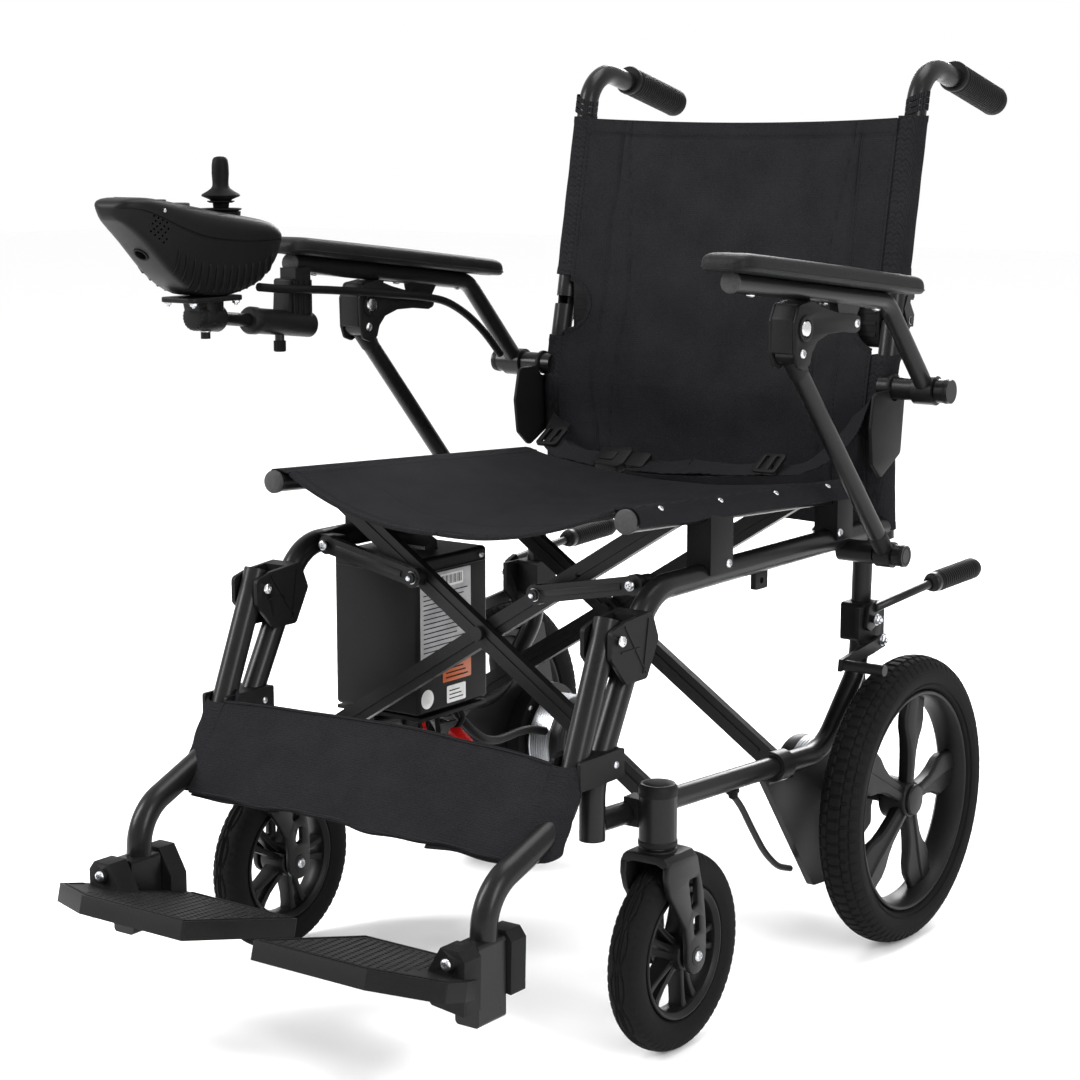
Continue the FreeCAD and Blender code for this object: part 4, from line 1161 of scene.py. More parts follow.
def add_pad(name, side):
    build = Build()
    rings = []
    front, rear = -386.5, -18.0
    steps = [0, 0.006, 0.016, 0.03, 0.05, 0.075] + [0.1 + 0.8 * i / 24 for i in range(25)] + \
            [0.93, 0.955, 0.975, 0.988, 0.996, 1.0]
    for t in steps:
        y = lerp(front, rear, t)
        w, h = pad_section(t)
        base = arm_z(y) + 9.2
        crown = h * (1.0 + 0.04 * math.sin(math.pi * t))
        dish = 0.9 * math.sin(math.pi * min(1, t * 1.05))
        ring = []
        for a, b in ((-0.80, 0.0), (-0.95, 0.10), (-1.0, 0.34), (-0.99, 0.60), (-0.93, 0.84), (-0.80, 0.96),
                     (-0.5, 1.0),
                     (0.0, 1.0), (0.5, 1.0), (0.80, 0.96), (0.93, 0.84), (0.99, 0.60), (1.0, 0.34),
                     (0.95, 0.10),
                     (0.80, 0.0), (0.36, 0.02), (0.30, -0.02), (-0.30, -0.02), (-0.36, 0.02)):
            z = base + b * crown - (dish if abs(a) < 0.3 and b > 0.9 else 0)
            ring.append((ARM_X + a * w, y, z))
        rings.append(ring)
    build.rings(rings)
    body = name + "_arm"
    pad = build.mirrored(side).piece(name + "_pad", body, "pad", levels=1, sharp=75,
                                     replaces=(name + "_arm_pad",))
    seam = Build()
    loop = []
    for t in steps:
        w, h = pad_section(t)
        loop.append((ARM_X + 0.985 * w, lerp(front, rear, t), arm_z(lerp(front, rear, t)) + 9.2 + h * 0.28))
    other = [(2 * ARM_X - p[0], p[1], p[2]) for p in loop]
    seam.sweep(loop[::-1] + other[1:], ring_section(0.8, 6))
    seam.mirrored(side).piece(name + "_pad_seam", body, "pad", sharp=60)
    plug = Build()
    tip = Vector((ARM_X, *ARM_FRONT))
    d = Vector((0, -1, -ARM_SLOPE)).normalized()
    plug.lathe([(-1, 10.4), (1.5, 10.7), (3.2, 9.6), (4.6, 6.5), (5.2, 2.8), (5.3, 0.01)], tip, d, 28)
    plug.mirrored(side).piece(name + "_arm_plug", body, "key", sharp=30)
    for y in (-330, -188, -78):
        z = arm_z(y) - 10.2
        screw(body, (side * ARM_X, y, z + 0.5), (0, ARM_SLOPE, -1), 4.2, "cross")


def add_arm_plate(name, side):
    """Moulded link of the flip-up armrest, with a ribbed head round the release button."""
    body = name + "_arm_link"
    build = Build()
    head = [(-270, 700), (-262, 716), (-238, 719), (-214, 711), (-180, 703), (-150, 701), (-138, 697),
            (-138, 684),
            (-148, 681), (-176, 684), (-204, 684), (-226, 678), (-236, 668), (-240, 656), (-252, 651),
            (-264, 655),
            (-269, 668)]
    outline = rounded(head, 5)
    for a, b in ((11.8, 15.4), (-15.4, -11.8)):
        build.plate([outline, circle(BUTTON, 8.7, 28)], ARM_X + a, ARM_X + b, "yz", 0.9)
    build.plate([rounded([(-270, 702), (-262, 715.5), (-240, 718), (-222, 712), (-222, 706), (-240, 711),
                          (-258, 708),
                          (-264, 698), (-264, 668), (-270, 668)], 2)], ARM_X - 12, ARM_X + 12, "yz", 0.8)
    for a, b in ((14.6, 17.2), (-17.2, -14.6)):
        build.plate([circle(BUTTON, 13.2, 36), circle(BUTTON, 9.0, 28)], ARM_X + a, ARM_X + b, "yz", 0.7)
    build.pin((ARM_X - 15.5, *PLATE_PIN), (ARM_X + 15.5, *PLATE_PIN), 2.9)
    build.pin((ARM_X - 13, -205, 694), (ARM_X + 13, -205, 694), 3.6)
    for k in range(6):
        y = -262 + k * 7.0
        build.box((ARM_X - 11.5, y, 718.0 - abs(k - 3) * 0.5 - 1.4),
                  (ARM_X + 11.5, y + 3.2, 718.6 - abs(k - 3) * 0.5))
    build.mirrored(side).piece(name + "_arm_link_plate", body, "plate", sharp=32,
                               replaces=(name + "_arm_plate",))
    for spot, r in ((PLATE_PIN, 4.6), (STRUT_TOP, 4.8)):
        for hand in (1, -1):
            if spot is PLATE_PIN and hand < 0 and side < 0:
                continue
            screw(body, (side * (ARM_X + hand * 15.2), *spot), (side * hand, 0, 0), r, "cross")
    oval = Build()
    oval.lathe([(-18.6, 0.01), (-18.4, 5.6), (-17.8, 7.2), (-16.4, 8.0), (16.4, 8.0), (17.8, 7.2),
                (18.4, 5.6),
                (18.6, 0.01)], (ARM_X, *BUTTON), (1, 0, 0), 36)
    oval.mirrored(side).piece(name + "_release_button", name + "_button", "silver", sharp=25,
                              replaces=(name + "_arm_button",))


def add_strut(name, side):
    ends = Build()
    top, foot = Vector((ARM_X, *STRUT_TOP)), Vector((ARM_X, *STRUT_FOOT))
    d = (foot - top).normalized()
    ends.lathe([(0, 10.1), (6, 10.4), (22, 10.4), (24, 9.8)], top + d * 6, d, 32)
    ends.lathe([(0, 9.7), (2, 10.3), (26, 10.3), (28, 9.7)], foot - d * 34, d, 32)
    ends.mirrored(side).piece(name + "_strut_ferrules", name + "_strut", "plate", sharp=30)


def add_arms():
    for name, side in SIDES:
        add_pad(name, side)
        add_arm_plate(name, side)
        add_strut(name, side)
        cap = Build()
        cap.lathe([(0, 13.2), (1.6, 13.6), (4.5, 13.2), (6.2, 11.0), (6.6, 7.6), (5.6, 6.4), (5.4, 0.01)],
                  (299.2, *ARM_PIVOT), (1, 0, 0), 36)
        cap.lathe([(0, 11.8), (2, 12.0), (4.6, 11.2), (5.4, 8.4), (4.6, 7.0), (4.4, 0.01)],
                  (295, *STRUT_FOOT), (1, 0, 0), 32)
        cap.mirrored(side).piece(name + "_pivot_caps", name + "_frame", "plate", sharp=30)
        add_grip(name, side)
        add_guard(name, side)


def add_grip(name, side):
    body = name + "_back"
    start, end = Vector((220, 196, 943.6)), Vector((220, 306, 915.6))
    d = end - start
    length = d.length
    profile = [(-1, 12.2), (-0.4, 16.4), (1.4, 17.3), (6.5, 17.3), (8.0, 16.3)]
    for i in range(19):
        s = 12 + i * 4.6
        profile += [(s, 16.2), (s + 1.0, 16.9), (s + 3.0, 16.9), (s + 4.0, 16.2)]
    profile += [(length - 13, 16.8), (length - 4, 17.2), (length - 0.4, 16.3), (length + 1.2, 12.5),
                (length + 1.6, 5.0),
                (length + 0.8, 0.01)]
    grip = Build()
    grip.lathe(profile, start, d, 40)
    grip.mirrored(side).piece(name + "_push_grip", body, "grip", sharp=40)


def add_guard(name, side):
    """Plastic side guard, dished outwards, beside the back of the seat."""
    outline = rounded([(-6, 604), (-14, 566), (-9, 527), (12, 509), (58, 532), (66, 604)], 8)
    trim = Build()
    trim.plate([outline, circle((42, 605.5), 15.5, 32)], 234.2, 238.6, "yz", 1.0,
               lambda p: Vector((p.x + 0.006 * max(0, 30 - p.y) ** 1.5, p.y, p.z)))
    trim.mirrored(side).piece(name + "_guard_panel", name + "_frame", "bracket", sharp=30,
                              replaces=(name + "_side_guard",))


# ---- frame hardware ---------------------------------------------------------------------------------
def softened(node, body, mat, bevel=0.9, sharp=32):
    """The node's own shape with its edges eased, as cast and moulded parts have them."""
    work = bmesh.new()
    work.from_mesh(frame["nodes"][node].data)
    bmesh.ops.remove_doubles(work, verts=work.verts, dist=2e-5)
    bmesh.ops.dissolve_limit(work, angle_limit=math.radians(1.5), verts=work.verts, edges=work.edges)
    edges = [e for e in work.edges if e.is_manifold and e.calc_face_angle(0) > math.radians(38)
             and e.calc_length() > 0.0016]
    bmesh.ops.bevel(work, geom=edges, offset=bevel / 1000, segments=2, profile=0.6, affect="EDGES",
                    clamp_overlap=True)
    bmesh.ops.recalc_face_normals(work, faces=work.faces)
    mesh = bpy.data.meshes.new(node + "_eased")
    work.to_mesh(mesh)
    work.free()
    obj = bpy.data.objects.new(node + "_eased", mesh)
    bpy.context.scene.collection.objects.link(obj)
    dress(obj, body, mat, sharp)
    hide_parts(node)
    return obj


def add_brackets(name, side):
    body = name + "_frame"
    softened(name + "_brackets", body, "bracket", 1.0)
    softened(name + "_link_arm", name + "_link", "brace", 1.0)
    softened(name + "_brake_lever", name + "_brake", "frame", 0.7)
    softened(name + "_footplate", name + "_foot_rest", "foot", 2.0)
    for y in (-296, -70):
        screw(body, (side * (FRAME_X + 13.8), y, 460), (side, 0, 0), 4.6, "cross")
        screw(body, (side * (FRAME_X - 13.8), y, 460), (-side, 0, 0), 4.6, "hex")
    for hand in (-1, 1):
        screw(body, (side * FRAME_X + hand * 21, -495, 416), (hand, 0, 0), 5.6, "dome", "silver")
        screw(body, (side * FRAME_X + hand * 16.8, -498, 298), (hand, 0, 0), 3.6, "cross")
    ribs = Build()
    for hand in (-1, 1):
        x = FRAME_X + hand * 18.0
        for (y0, z0), (y1, z1) in (((-486, 428), (-450, 378)), ((-446, 430), (-455, 378)),
                                   ((-492, 404), (-462, 404))):
            ribs.sweep([(x, y0, z0), (x, y1, z1)], [(-1.1, -0.9), (1.1, -0.9), (0.7, 0.9), (-0.7, 0.9)],
                       up=(1, 0, 0))
    ribs.mirrored(side).piece(name + "_bracket_ribs", body, "bracket", sharp=30)
    cap = Build()
    cap.lathe([(-7, 18.4), (-6, 18.9), (0, 18.9), (2.4, 18.2), (4.4, 16.4), (5.4, 13.6), (6.0, 8),
               (6.2, 0.01)],
              (254.5, -451, 268), (0, 0, 1), 40)
    cap.lathe([(0, 18.4), (1, 19.0), (5, 19.0), (6, 18.4)], (254.5, -451, 212), (0, 0, 1), 40, closed=True)
    cap.mirrored(side).piece(name + "_housing_cap", body, "bracket", sharp=30)
    for y, z in ((-14, 358), (0, 333)):
        screw(body, (side * 252, y, z), (side, 0, 0), 5.4, "hex")
    knob = Build()
    p, q = Vector((252, 108, 378.8)), Vector((255.2, 218, 382.2))
    d = q - p
    knob.lathe([(0, 6.2), (2, 8.4), (10, 9.6), (16, 11.2), (18, 11.6)]
               + [(20 + 4.6 * i + s, r) for i in range(15) for s,
                  r in ((0, 11.5), (0.9, 12.1), (3.0, 12.1), (3.9, 11.5))]
               + [(92, 12.3), (102, 12.2), (107, 10.4), (109.6, 6.4), (110, 0.01)], p, d, 32)
    knob.mirrored(side).piece(name + "_brake_knob", name + "_brake", "grip", sharp=40)


def add_motor(name, side):
    body = name + "_frame"
    band = Build()
    rows = [(0, 51)]
    for i in range(8):
        rows += [(1.0 + i * 3.4, 53.4), (2.6 + i * 3.4, 53.4), (3.1 + i * 3.4, 52.5), (3.9 + i * 3.4, 52.5)]
    rows += [(29, 53.2), (30, 51)]
    band.lathe(rows, (160, 0, 159), (1, 0, 0), 72, closed=True)
    band.mirrored(side).piece(name + "_motor_band", body, "zinc", sharp=30)
    cover = Build()
    cover.lathe([(-0.4, 0.01), (-0.5, 18), (-1.2, 20), (-1.4, 38), (-0.6, 44), (2.4, 50), (6, 52.5),
                 (14, 52.8), (16, 52)],
                (142, 0, 159), (1, 0, 0), 64)
    for k in range(12):
        a = math.pi * k / 6
        u = Vector((0, math.cos(a), math.sin(a)))
        cover.sweep([Vector((140.6, 0, 159)) + u * 22, Vector((140.6, 0, 159)) + u * 42],
                    [(-1.4, -0.8), (1.4, -0.8), (0.9, 1.2), (-0.9, 1.2)], up=(-1, 0, 0))
    cover.mirrored(side).piece(name + "_motor_cover", body, "motor", sharp=30)
    gland = Build()
    gland.lathe([(0, 3.6), (0.6, 5.0), (6, 5.4), (7, 7.4), (12, 7.4)], (218, -253, 207.5), (0.05, -0.35, 1),
                24)
    gland.mirrored(side).piece(name + "_lead_gland", body, "cable", sharp=30)
    for k in range(4):
        a = math.pi / 4 + math.pi * k / 2
        place = (side * 195.6, 58 * math.cos(a), 159 + 58 * math.sin(a))
        screw(body, place, (-side, 0, 0), 3.4, "cross")


def add_foot_grip(name, side):
    """Raised dots, an edge rib and pin heads of the footplate."""
    c, s = math.cos(math.radians(14.3)), math.sin(math.radians(14.3))

    def deck(x, y, h):
        return (x, -789 + (y + 789) * c + h * s, 169 - (y + 789) * s + h * c)

    dots = Build()
    for row in range(15):
        for col in range(16):
            x, y = 54 + col * 8.6 + (row % 2) * 4.3, -776 + row * 9.4
            if x > 188 - max(0, y + 700) * 0.06 or y > -640:
                continue
            rings = []
            for r, h in ((2.1, -0.3), (1.9, 0.45), (1.1, 0.8)):
                rings.append([deck(x + r * math.cos(a), y + r * math.sin(a), h)
                              for a in [math.pi / 4 * k for k in range(8)]])
            dots.rings(rings)
    rim = [(47, -784), (174, -784), (234, -754), (234, -730)]
    dots.sweep([deck(x, y, 0.2) for x, y in rim], [(-1.6, -0.6), (1.6, -0.6), (1.1, 0.9), (-1.1, 0.9)])
    dots.sweep([deck(x, y, 0.2) for x, y in ((47, -784), (47, -633), (180, -633))],
               [(-1.6, -0.6), (1.6, -0.6), (1.1, 0.9), (-1.1, 0.9)])
    dots.mirrored(side).piece(name + "_foot_grip", name + "_foot_rest", "foot", sharp=40)
    for y, way in ((-728.2, -1), (-630.8, 1)):
        screw(name + "_foot_rest", (side * 215, y, 164), (0, way, 0), 5.6, "cross")


def add_pivots():
    for name, side in SIDES:
        link = name + "_link"
        screw(link, raked(side * 195, -425.4, 213.7), (0, -1, 0), 5.4, "cross")
        screw(link, raked(side * 78.4, -420.4, 191.0), (0, -1, 0), 5.6, "hex")
    for x, y, body in ((0, -407, "brace_a_body"), (0, -177, "brace_a_body")):
        screw(body, raked(x, y, 141), (0, -1, 0), 5.6, "cross")
    for y, body in ((-382.4, "brace_b_body"), (-152.4, "brace_b_body")):
        screw(body, raked(0, y, 141), (0, 1, 0), 5.6, "hex")


def add_hinges(name, side):
    """Back hinge seen through the cut-out of the sleeve: sleeve, cheeks, pin and release catch."""
    lower, upper = name + "_frame", name + "_back"
    sleeve = Build()
    sleeve.lathe([(0, 12.2), (1.2, 13.2), (14, 13.2), (15, 12.2)], (FRAME_X, 60.6, 634), (0, 0.18, 1), 32,
                 closed=True)
    sleeve.mirrored(side).piece(name + "_hinge_collar", lower, "frame", sharp=30)
    cheeks = Build()
    outline = rounded([(60, 664), (64, 692), (80, 698), (95, 688), (97, 674), (84, 660)], 6)
    for a, b in ((5.6, 8.4), (-8.4, -5.6)):
        cheeks.plate([outline], FRAME_X + a, FRAME_X + b, "yz", 0.7)
    cheeks.pin((FRAME_X - 9.8, 86, 676), (FRAME_X + 9.8, 86, 676), 3.8)
    cheeks.mirrored(side).piece(name + "_hinge_cheeks", upper, "bracket", sharp=30)
    block = Build()
    block.plate([rounded([(62, 646), (62, 706), (82, 706), (84, 646)], 4)], 176, 206.5, "yz", 1.6)
    for k in range(3):
        block.box((180, 60.9, 658 + 13 * k), (202, 62.2, 662 + 13 * k))
    block.mirrored(side).piece(name + "_hinge_block", lower, "bracket", sharp=30)
    for hand in (-1, 1):
        screw(upper, (side * FRAME_X + hand * 9.2, 86, 676), (hand, 0, 0), 5.6, "cross")


# ---- battery and wiring -----------------------------------------------------------------------------
def sticker(build, corners, lift=0.35):
    """Thin printed film on the battery's inner face, corners as (y, z)."""
    x = -118 + lift
    outline = rounded(corners, 1.6, 3)
    build.plate([outline], x - 0.3, x + 0.1, "yz", 0.08)


def add_battery():
    softened("battery", "right_frame", "battery", 1.6)
    body = "right_frame"
    lid = Build()
    ring = rounded([(-236.2, -351.2), (-116.8, -351.2), (-116.8, -225.8), (-236.2, -225.8)], 9)
    lid.plate([ring, rounded([(-233, -348), (-120, -348), (-120, -229), (-233, -229)], 7)], 417.0, 419.0,
              "xy", 0.5)
    lid.sweep([(-205, -288, 433), (-204, -288, 441), (-198, -288, 444), (-155, -288, 444), (-149, -288, 441),
               (-148, -288, 433)], [(-8, -1.6), (8, -1.6), (8, 1.6), (-8, 1.6)], up=(0, 1, 0))
    lid.piece("battery_lid_band", body, "battery", bevel=0.5, sharp=30)
    grey_film, white_film, orange_film = Build(), Build(), Build()
    sticker(grey_film, [(-346, 321), (-258, 321), (-258, 415), (-346, 415)])
    sticker(white_film, [(-312, 398), (-272, 398), (-272, 412), (-312, 412)], 0.75)
    sticker(white_film, [(-301, 268), (-268, 268), (-268, 287), (-301, 287)])
    for cy, cz, r in ((-338, 309, 8.5), (-335, 279, 10.5)):
        white_film.plate([circle((cy, cz), r, 28)], -118.0, -117.5, "yz", 0.1)
        white_film.plate([circle((cy, cz), r * 0.55, 20), circle((cy, cz), r * 0.36, 20)], -117.55, -117.3,
                         "yz", 0.05)
    sticker(orange_film, [(-308, 292), (-258, 292), (-258, 313), (-308, 313)])
    grey_film.piece("battery_label_grey", body, "grey_label")
    white_film.piece("battery_label_white", body, "white_label")
    orange_film.piece("battery_label_orange", body, "orange_label")
    lines = Build()
    for k in range(13):
        z, end = 392 - k * 5.2, -264 - (k * 7) % 22
        lines.box((-117.6, -341, z), (-117.35, end, z + 1.1))
    for k in range(15):
        y = -309 + k * 2.4
        lines.box((-117.2, y, 400.5), (-117.0, y + (0.7 if k % 3 else 1.5), 410))
    for k in range(3):
        lines.box((-117.6, -297, 272 + k * 4.4), (-117.35, -273 - 3 * k, 273.2 + k * 4.4))
        lines.box((-117.6, -303, 296 + k * 5), (-117.35, -264 - 4 * k, 297.4 + k * 5))
    lines.piece("battery_label_lines", body, "thread")
    plug = Build()
    plug.sweep([(-128, -276, 231), (-110, -283, 224), (-88, -291, 214)],
               [(-7, -4.6), (7, -4.6), (7, 4.6), (-7, 4.6)])
    for k in range(5):
        t = 0.30 + 0.12 * k
        p = Vector((-128, -276, 231)).lerp(Vector((-88, -291, 214)), t)
        plug.sweep([p, p + Vector((2.2, -0.8, -0.95))], [(-7.7, -5.3), (7.7, -5.3), (7.7, 5.3), (-7.7, 5.3)])
    plug.piece("battery_connector", body, "red", bevel=0.8, sharp=30)
    red = Build()
    red.sweep(smooth_path([(-150, -300, 258), (-146, -306, 240), (-136, -309, 226), (-131, -300, 217),
                           (-134, -288, 214)], 8), ring_section(1.9, 10))
    red.piece("battery_red_wire", body, "red", sharp=60)
    wires = Build()
    wires.sweep(smooth_path([(-132, -266, 258), (-127, -262, 244), (-128, -270, 234), (-131, -276, 230)], 8),
                ring_section(3.2, 12))
    wires.sweep(smooth_path([(-88, -291, 214), (-76, -292, 206), (-84, -276, 196), (-110, -240, 190),
                             (-134, -206, 196)], 8), ring_section(3.2, 12))
    wires.piece("battery_wires", body, "cable", sharp=60)
    for y in (-338, -239):
        screw(body, (-118, y, 424), (1, 0, 0), 3.4, "cross")


def add_hardware():
    for name, side in SIDES:
        add_brackets(name, side)
        add_motor(name, side)
        add_foot_grip(name, side)
        add_hinges(name, side)
    add_pivots()
    add_battery()


# ---- joystick controller ------------------------------------------------------------------------------
POD_ROWS = [  # along, half width, bottom, top
    (-640.0, 11.0, 802.0, 811.0), (-637.5, 18.0, 798.0, 814.5), (-632.0, 24.0, 794.0, 817.0),
    (-620.0, 29.5, 785.0, 818.6), (-604.0, 33.0, 771.5, 818.0), (-585.0, 35.2, 753.0, 815.4),
    (-565.0, 36.6, 735.5, 812.2), (-540.0, 37.4, 721.0, 808.0), (-515.0, 37.4, 716.6, 804.0),
    (-485.0, 37.0, 716.8, 799.5), (-460.0, 36.0, 722.0, 795.6), (-440.0, 34.4, 730.0, 792.0),
    (-426.0, 32.0, 741.0, 787.5), (-418.0, 29.0, 748.0, 782.0), (-413.5, 24.0, 755.0, 774.0),
]
POD_SECTION = [(0.0, 0.0), (0.44, 0.0), (0.58, 0.02), (0.68, 0.08), (0.78, 0.22), (0.87, 0.40), (0.94, 0.56),
               (0.972, 0.640), (0.948, 0.650), (0.948, 0.664), (0.982, 0.676), (1.0, 0.745), (0.995, 0.81),
               (0.965, 0.875), (0.90, 0.935), (0.79, 0.975), (0.62, 0.994), (0.30, 1.0)]


def pod_point(y, a, b):
    w, low, high = curve_at(POD_ROWS, y)
    return (POD_X + a * w, y, low + b * (high - low))


def section_at(b):
    for (a0, b0), (a1, b1) in zip(POD_SECTION, POD_SECTION[1:]):
        if b0 <= b <= b1 and b1 > b0:
            return lerp(a0, a1, (b - b0) / (b1 - b0))
    return 1.0


def carve(obj, cutters):
    """Take closed shells out of a closed piece."""
    for k, cutter in enumerate(cutters):
        tool = cutter.piece("%s_cut%d" % (obj.name, k), "pod", "pod")
        mod = obj.modifiers.new("carve", "BOOLEAN")
        mod.operation, mod.solver, mod.object = "DIFFERENCE", "EXACT", tool
        settle(obj)
        bpy.data.objects.remove(tool)
    mesh = obj.data
    mesh.polygons.foreach_set("use_smooth", [True] * len(mesh.polygons))
    mesh.set_sharp_from_angle(angle=math.radians(34))


def add_shell():
    steps = [-640, -639, -637.5, -635, -632, -627, -620, -612, -604] + [-594 + 10 * k for k in range(16)] + \
            [-438, -432, -426, -421.5, -418, -415.3, -413.5]
    section = POD_SECTION + [(0.0, 1.0)] + [(-a, b) for a, b in POD_SECTION[:0:-1]]
    build = Build()
    build.rings([[pod_point(y, a, b) for a, b in section] for y in steps])
    shell = build.piece("controller_shell", "pod", "pod", sharp=34, replaces=("pod_housing",))
    socket, well = Build(), Build()
    mouth, inward = Vector((POD_X, -594, 762)), Vector((0, 0.7071, 0.7071))
    socket.pin(mouth - inward * 14, mouth + inward * 13, 6.0, 0.01, 32)
    well.pin((POD_X, -478, 776), (POD_X, -478, 830), 19.6, 0.01, 40)
    cutters = [socket, well]
    for y, r in ((-566, 7.0), (-540, 12.0)):
        hole = Build()
        hole.pin((POD_X, y, 803.5), (POD_X, y, 830), r, 0.01, 32)
        cutters.append(hole)
    slots = Build()
    for k in range(4):
        for j in range(5):
            y, b = -606 + k * 5.2 + (j % 2) * 2.6, 0.28 + 0.085 * j
            p = Vector(pod_point(y, section_at(b), b))
            slots.pin(p - Vector((4, -1.5, 0)), p + Vector((5, -2, 0)), 1.15, 0.01, 10)
    cutters.append(slots)
    carve(shell, cutters)
    trim = Build()
    for side in (1, -1):
        for k in range(14):
            y = -571 + k * 10.6
            rings = []
            for b in (0.02, 0.10, 0.20, 0.30, 0.375):
                a = section_at(b)
                x, _, z = pod_point(y, side * a, b)
                out = side * (1.7 if 0.05 < b < 0.33 else 0.2)
                rings.append([(x + out, y - 1.6, z - 0.5), (x + out, y + 1.6, z - 0.5),
                              (x - side * 2.5, y + 1.6, z + 0.5), (x - side * 2.5, y - 1.6, z + 0.5)])
            trim.rings(rings)
    trim.piece("controller_fins", "pod", "pod", bevel=0.4, sharp=34)
    bezel = Build()
    bezel.lathe([(-0.4, 6.1), (-0.4, 8.2), (0.9, 8.6), (1.5, 7.8), (1.5, 6.6), (0.9, 6.1)], mouth, -inward,
                32, closed=True)
    bezel.pin(mouth + inward * 13, mouth + inward * 9, 5.9, 0.2, 24)
    bezel.piece("charge_socket_bezel", "pod", "stick", sharp=30)
    pins = Build()
    for k in range(3):
        a = math.radians(90 + 120 * k)
        offset = Vector((2.7 * math.cos(a), 0, 0)) + Vector((0, -0.7071, 0.7071)) * (2.7 * math.sin(a))
        pins.pin(mouth + inward * 9.4 + offset, mouth + inward * 3.5 + offset, 0.85, 0.2, 10)
    pins.piece("charge_socket_pins", "pod", "silver", sharp=40)
    panel = Build()
    rows = [(-616 + k * 6.2, 0.55 + 0.25 * math.sin(math.pi * min(1, k / 3) / 2)) for k in range(16)]
    left = [(POD_X - 24.5 * w, y) for y, w in rows]
    right = [(POD_X + 24.5 * w, y) for y, w in rows]
    film = []
    for (xl, y), (xr, _) in zip(left, right):
        z = curve_at(POD_ROWS, y)[2]
        film.append([(xl, y, z - 0.6), (xl, y, z + 0.25), (xr, y, z + 0.25), (xr, y, z - 0.6)])
    panel.rings(film)
    marks = Build()
    for k in range(6):
        y = -608 + k * 0.1
        x = POD_X - 12.5 + 5 * k
        z = curve_at(POD_ROWS, y)[2] + 0.2
        marks.pin((x, y, z - 0.3), (x, y, z + 0.35), 1.3, 0.1, 12)
    panel.piece("controller_panel", "pod", "key", bevel=0.2, sharp=34)
    marks.piece("controller_lamps", "pod", "white_label", sharp=40)
    lamp = Build()
    p = Vector(pod_point(-594, section_at(0.80), 0.80))
    lamp.pin(p - Vector((2, 0, 0)), p + Vector((0.8, 0, 0)), 1.9, 0.3, 16)
    lamp.piece("controller_side_lamp", "pod", "silver", sharp=40)


def add_stick():
    y, z = -478.0, 800.0
    origin, up = (POD_X, y, z), (0, 0, 1)
    knob = Build()
    knob.lathe([(-13, 3.9), (-6, 4.0), (-2, 7.4), (10.6, 8.6), (13.4, 12.0), (16.6, 19.6), (17.8, 20.0),
                (19.2, 18.6),
                (21.6, 14.2), (24.6, 10.0), (27.2, 8.5), (31, 8.3), (40, 8.9), (48, 8.7), (53.6, 7.9),
                (56, 6.2),
                (57.0, 3.2), (57.2, 0.01)], origin, up, 40)
    knob.piece("joystick_knob", "stick", "stick", sharp=50, replaces=("joystick",))
    fold = Build()
    fold.lathe([(10.0, 9.9), (10.0, 11.8), (11.2, 14.2), (12.0, 14.0), (11.9, 11.6), (12.3, 9.9)], origin, up,
               40, closed=True)
    fold.piece("joystick_bellows_middle", "gimbal", "stick", sharp=50)
    base = Build()
    base.lathe([(-3, 19.8), (1.2, 20.2), (1.0, 16.4), (2.8, 20.6), (3.8, 21.4), (4.4, 20.8), (4.2, 16.6),
                (4.6, 15.4),
                (4.0, 14.4), (-3, 14.6)], origin, up, 40, closed=True)
    base.piece("joystick_bellows_base", "pod", "stick", sharp=50)


def add_keys():
    for node, body, y, r, top in (("power_key", "power_button", -566, 6.4, 815.0),
                                  ("speed_key", "speed_button", -540, 11.4, 811.0)):
        key = Build()
        key.lathe([(-9, r - 0.4), (-1.6, r), (-0.6, r - 0.35), (-0.1, r - 1.1), (-0.4, r * 0.5),
                   (-0.6, 0.01)],
                  (POD_X, y, top + 0.6), (0, 0, 1), 32)
        key.piece(node + "_cap", body, "key", sharp=34, replaces=(node,))


def rod_at(y, drop=0.0):
    return Vector((POD_X, y, 676 - 0.1132 * (y + 345) - drop))


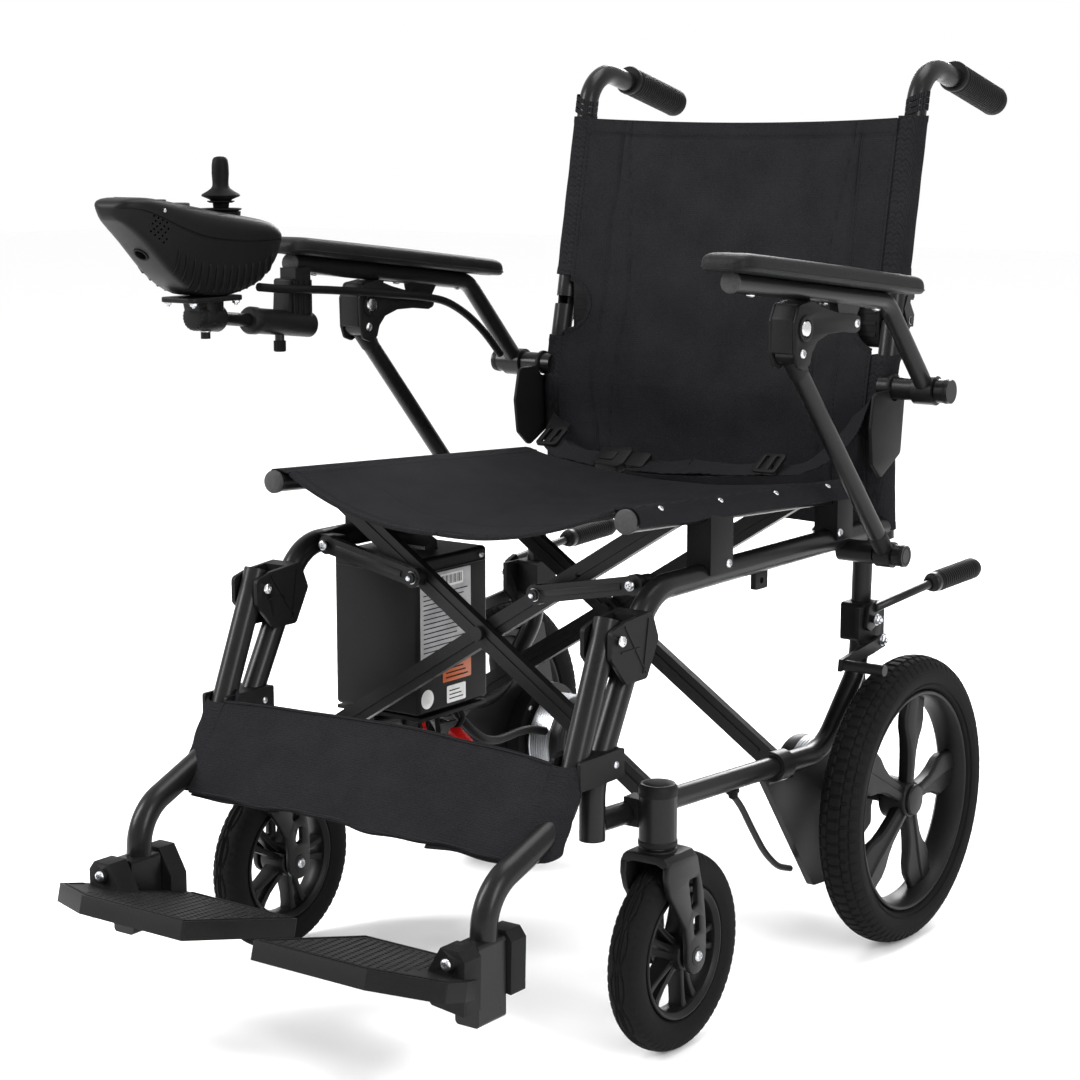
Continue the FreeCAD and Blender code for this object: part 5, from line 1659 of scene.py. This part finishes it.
def add_mounting():
    softened("pod_arm", "pod", "pod", 0.8)
    head = Build()
    p, q = rod_at(-484), rod_at(-522.5)
    axis = q - p
    ring = [(0, 9), (0.8, 13.2), (3, 14.4), (29, 14.4), (30.4, 13.6), (31.6, 14.8), (38, 14.8), (40.2, 13.4),
            (41.0, 10),
            (41.2, 0.01)]
    head.lathe(ring, p, axis, 48, radius=lambda k, i, r: r - (0.8 if i in (6, 7) and k % 2 else 0))
    y = -505
    head.plate([rounded([(POD_X - 24, -548), (POD_X + 24, -548), (POD_X + 24, -470), (POD_X - 24, -470)], 8)],
               711.0, 716.2, "xy", 1.0)
    head.plate([rounded([(-521, 690), (-527, 712), (-488, 712), (-489, 690)], 3)], POD_X - 11, POD_X + 11,
               "yz", 1.0)
    head.piece("controller_mount", "pod", "pod", sharp=32)
    low = rod_at(y, 14.2)
    screw("pod", low, (0, 0, -1), 5.0, "hex")
    for dx, dy in ((-18, -540), (18, -540), (18, -478), (-18, -478)):
        screw("pod", (POD_X + dx, dy, 711), (0, 0, -1), 4.0, "hex")
    clamp = Build()
    a, b = rod_at(-343), rod_at(-441.5)
    length = (b - a).length
    clamp.lathe([(0, 7.4), (0.2, 11.6), (2, 13.6), (length - 14, 13.6), (length - 12, 14.6),
                 (length - 3, 14.6),
                 (length, 12.8), (length, 7.4)], a, b - a, 40, closed=True)
    x0, x1 = POD_X - 20, POD_X + 9.4
    foot, top = 688.0, 727.0
    clamp.plate([rounded([(-384, foot), (-381, top), (-350, top), (-348, foot)], 2.5)], x0 + 3, x1 - 3, "yz",
                1.2)
    for k in range(4):
        y = -379 + k * 8.6
        clamp.plate([rounded([(y, foot), (y + 1, top - 2), (y + 4, top - 2), (y + 4, foot)], 0.8)], x0, x1,
                    "yz", 0.5)
    clamp.piece("controller_clamp", "right_arm", "plate", sharp=32)
    stud, cap = Build(), Build()
    spot = rod_at(-392)
    stud.pin(spot - Vector((0, 0, 13.2)), spot - Vector((0, 0, 21)), 3.0, 0.4, 18)
    stud.piece("clamp_stud", "right_arm", "silver", sharp=30)
    cap.lathe([(0, 5.0), (0.6, 6.6), (11, 6.6), (12, 5.6), (12.1, 0.01)], spot - Vector((0, 0, 19)),
              (0, 0, -1), 36,
              radius=lambda k, i, r: r - (0.6 if i in (1, 2) and k % 3 == 0 else 0))
    cap.piece("clamp_thumbscrew", "right_arm", "stick", sharp=30)


def add_controller():
    add_shell()
    add_stick()
    add_keys()
    add_mounting()


# ---- everything together ------------------------------------------------------------------------
CAD_MATERIAL = {
    "side_frame": "frame", "seat_rail": "frame", "hanger": "frame", "arm_tube": "frame",
                "upper_cane": "frame",
    "arm_strut": "frame", "brackets": "bracket", "side_guard": "bracket", "release_lever": "bracket",
    "link_arm": "brace", "motor": "motor", "rear_rim": "rim", "caster_rim": "rim", "rear_tyre": "tyre",
    "caster_tyre": "tyre", "caster_fork": "fork", "footplate": "foot", "arm_pad": "pad", "arm_plate": "plate",
    "arm_button": "silver", "brake_lever": "frame", "brake_shoe": "brace",
}
SINGLE_MATERIAL = {
    "brace_a": "brace", "brace_b": "brace", "battery": "battery", "wiring_loom": "cable", "pod_arm": "pod",
    "pod_housing": "pod", "joystick": "stick", "stick_gimbal": "pod", "power_key": "key", "speed_key": "key",
    "joystick_cable": "cable", "seat_sling": "fabric_seat", "back_sling_lower": "fabric",
    "back_sling_upper": "fabric", "calf_strap": "fabric", "lap_belt": "webbing",
}


def dress_frame():
    table = dict(SINGLE_MATERIAL)
    for node, mat in CAD_MATERIAL.items():
        for name, _ in SIDES:
            table["%s_%s" % (name, node)] = mat
    for node, obj in frame["nodes"].items():
        obj.data.materials.clear()
        obj.data.materials.append(MAT[table[node]])


def main():
    add_camera()
    add_stage()
    dress_frame()
    add_back()
    add_seat()
    add_calf_strap()
    add_belt()
    add_wheels()
    add_arms()
    add_hardware()
    add_controller()
    place_screws()


main()
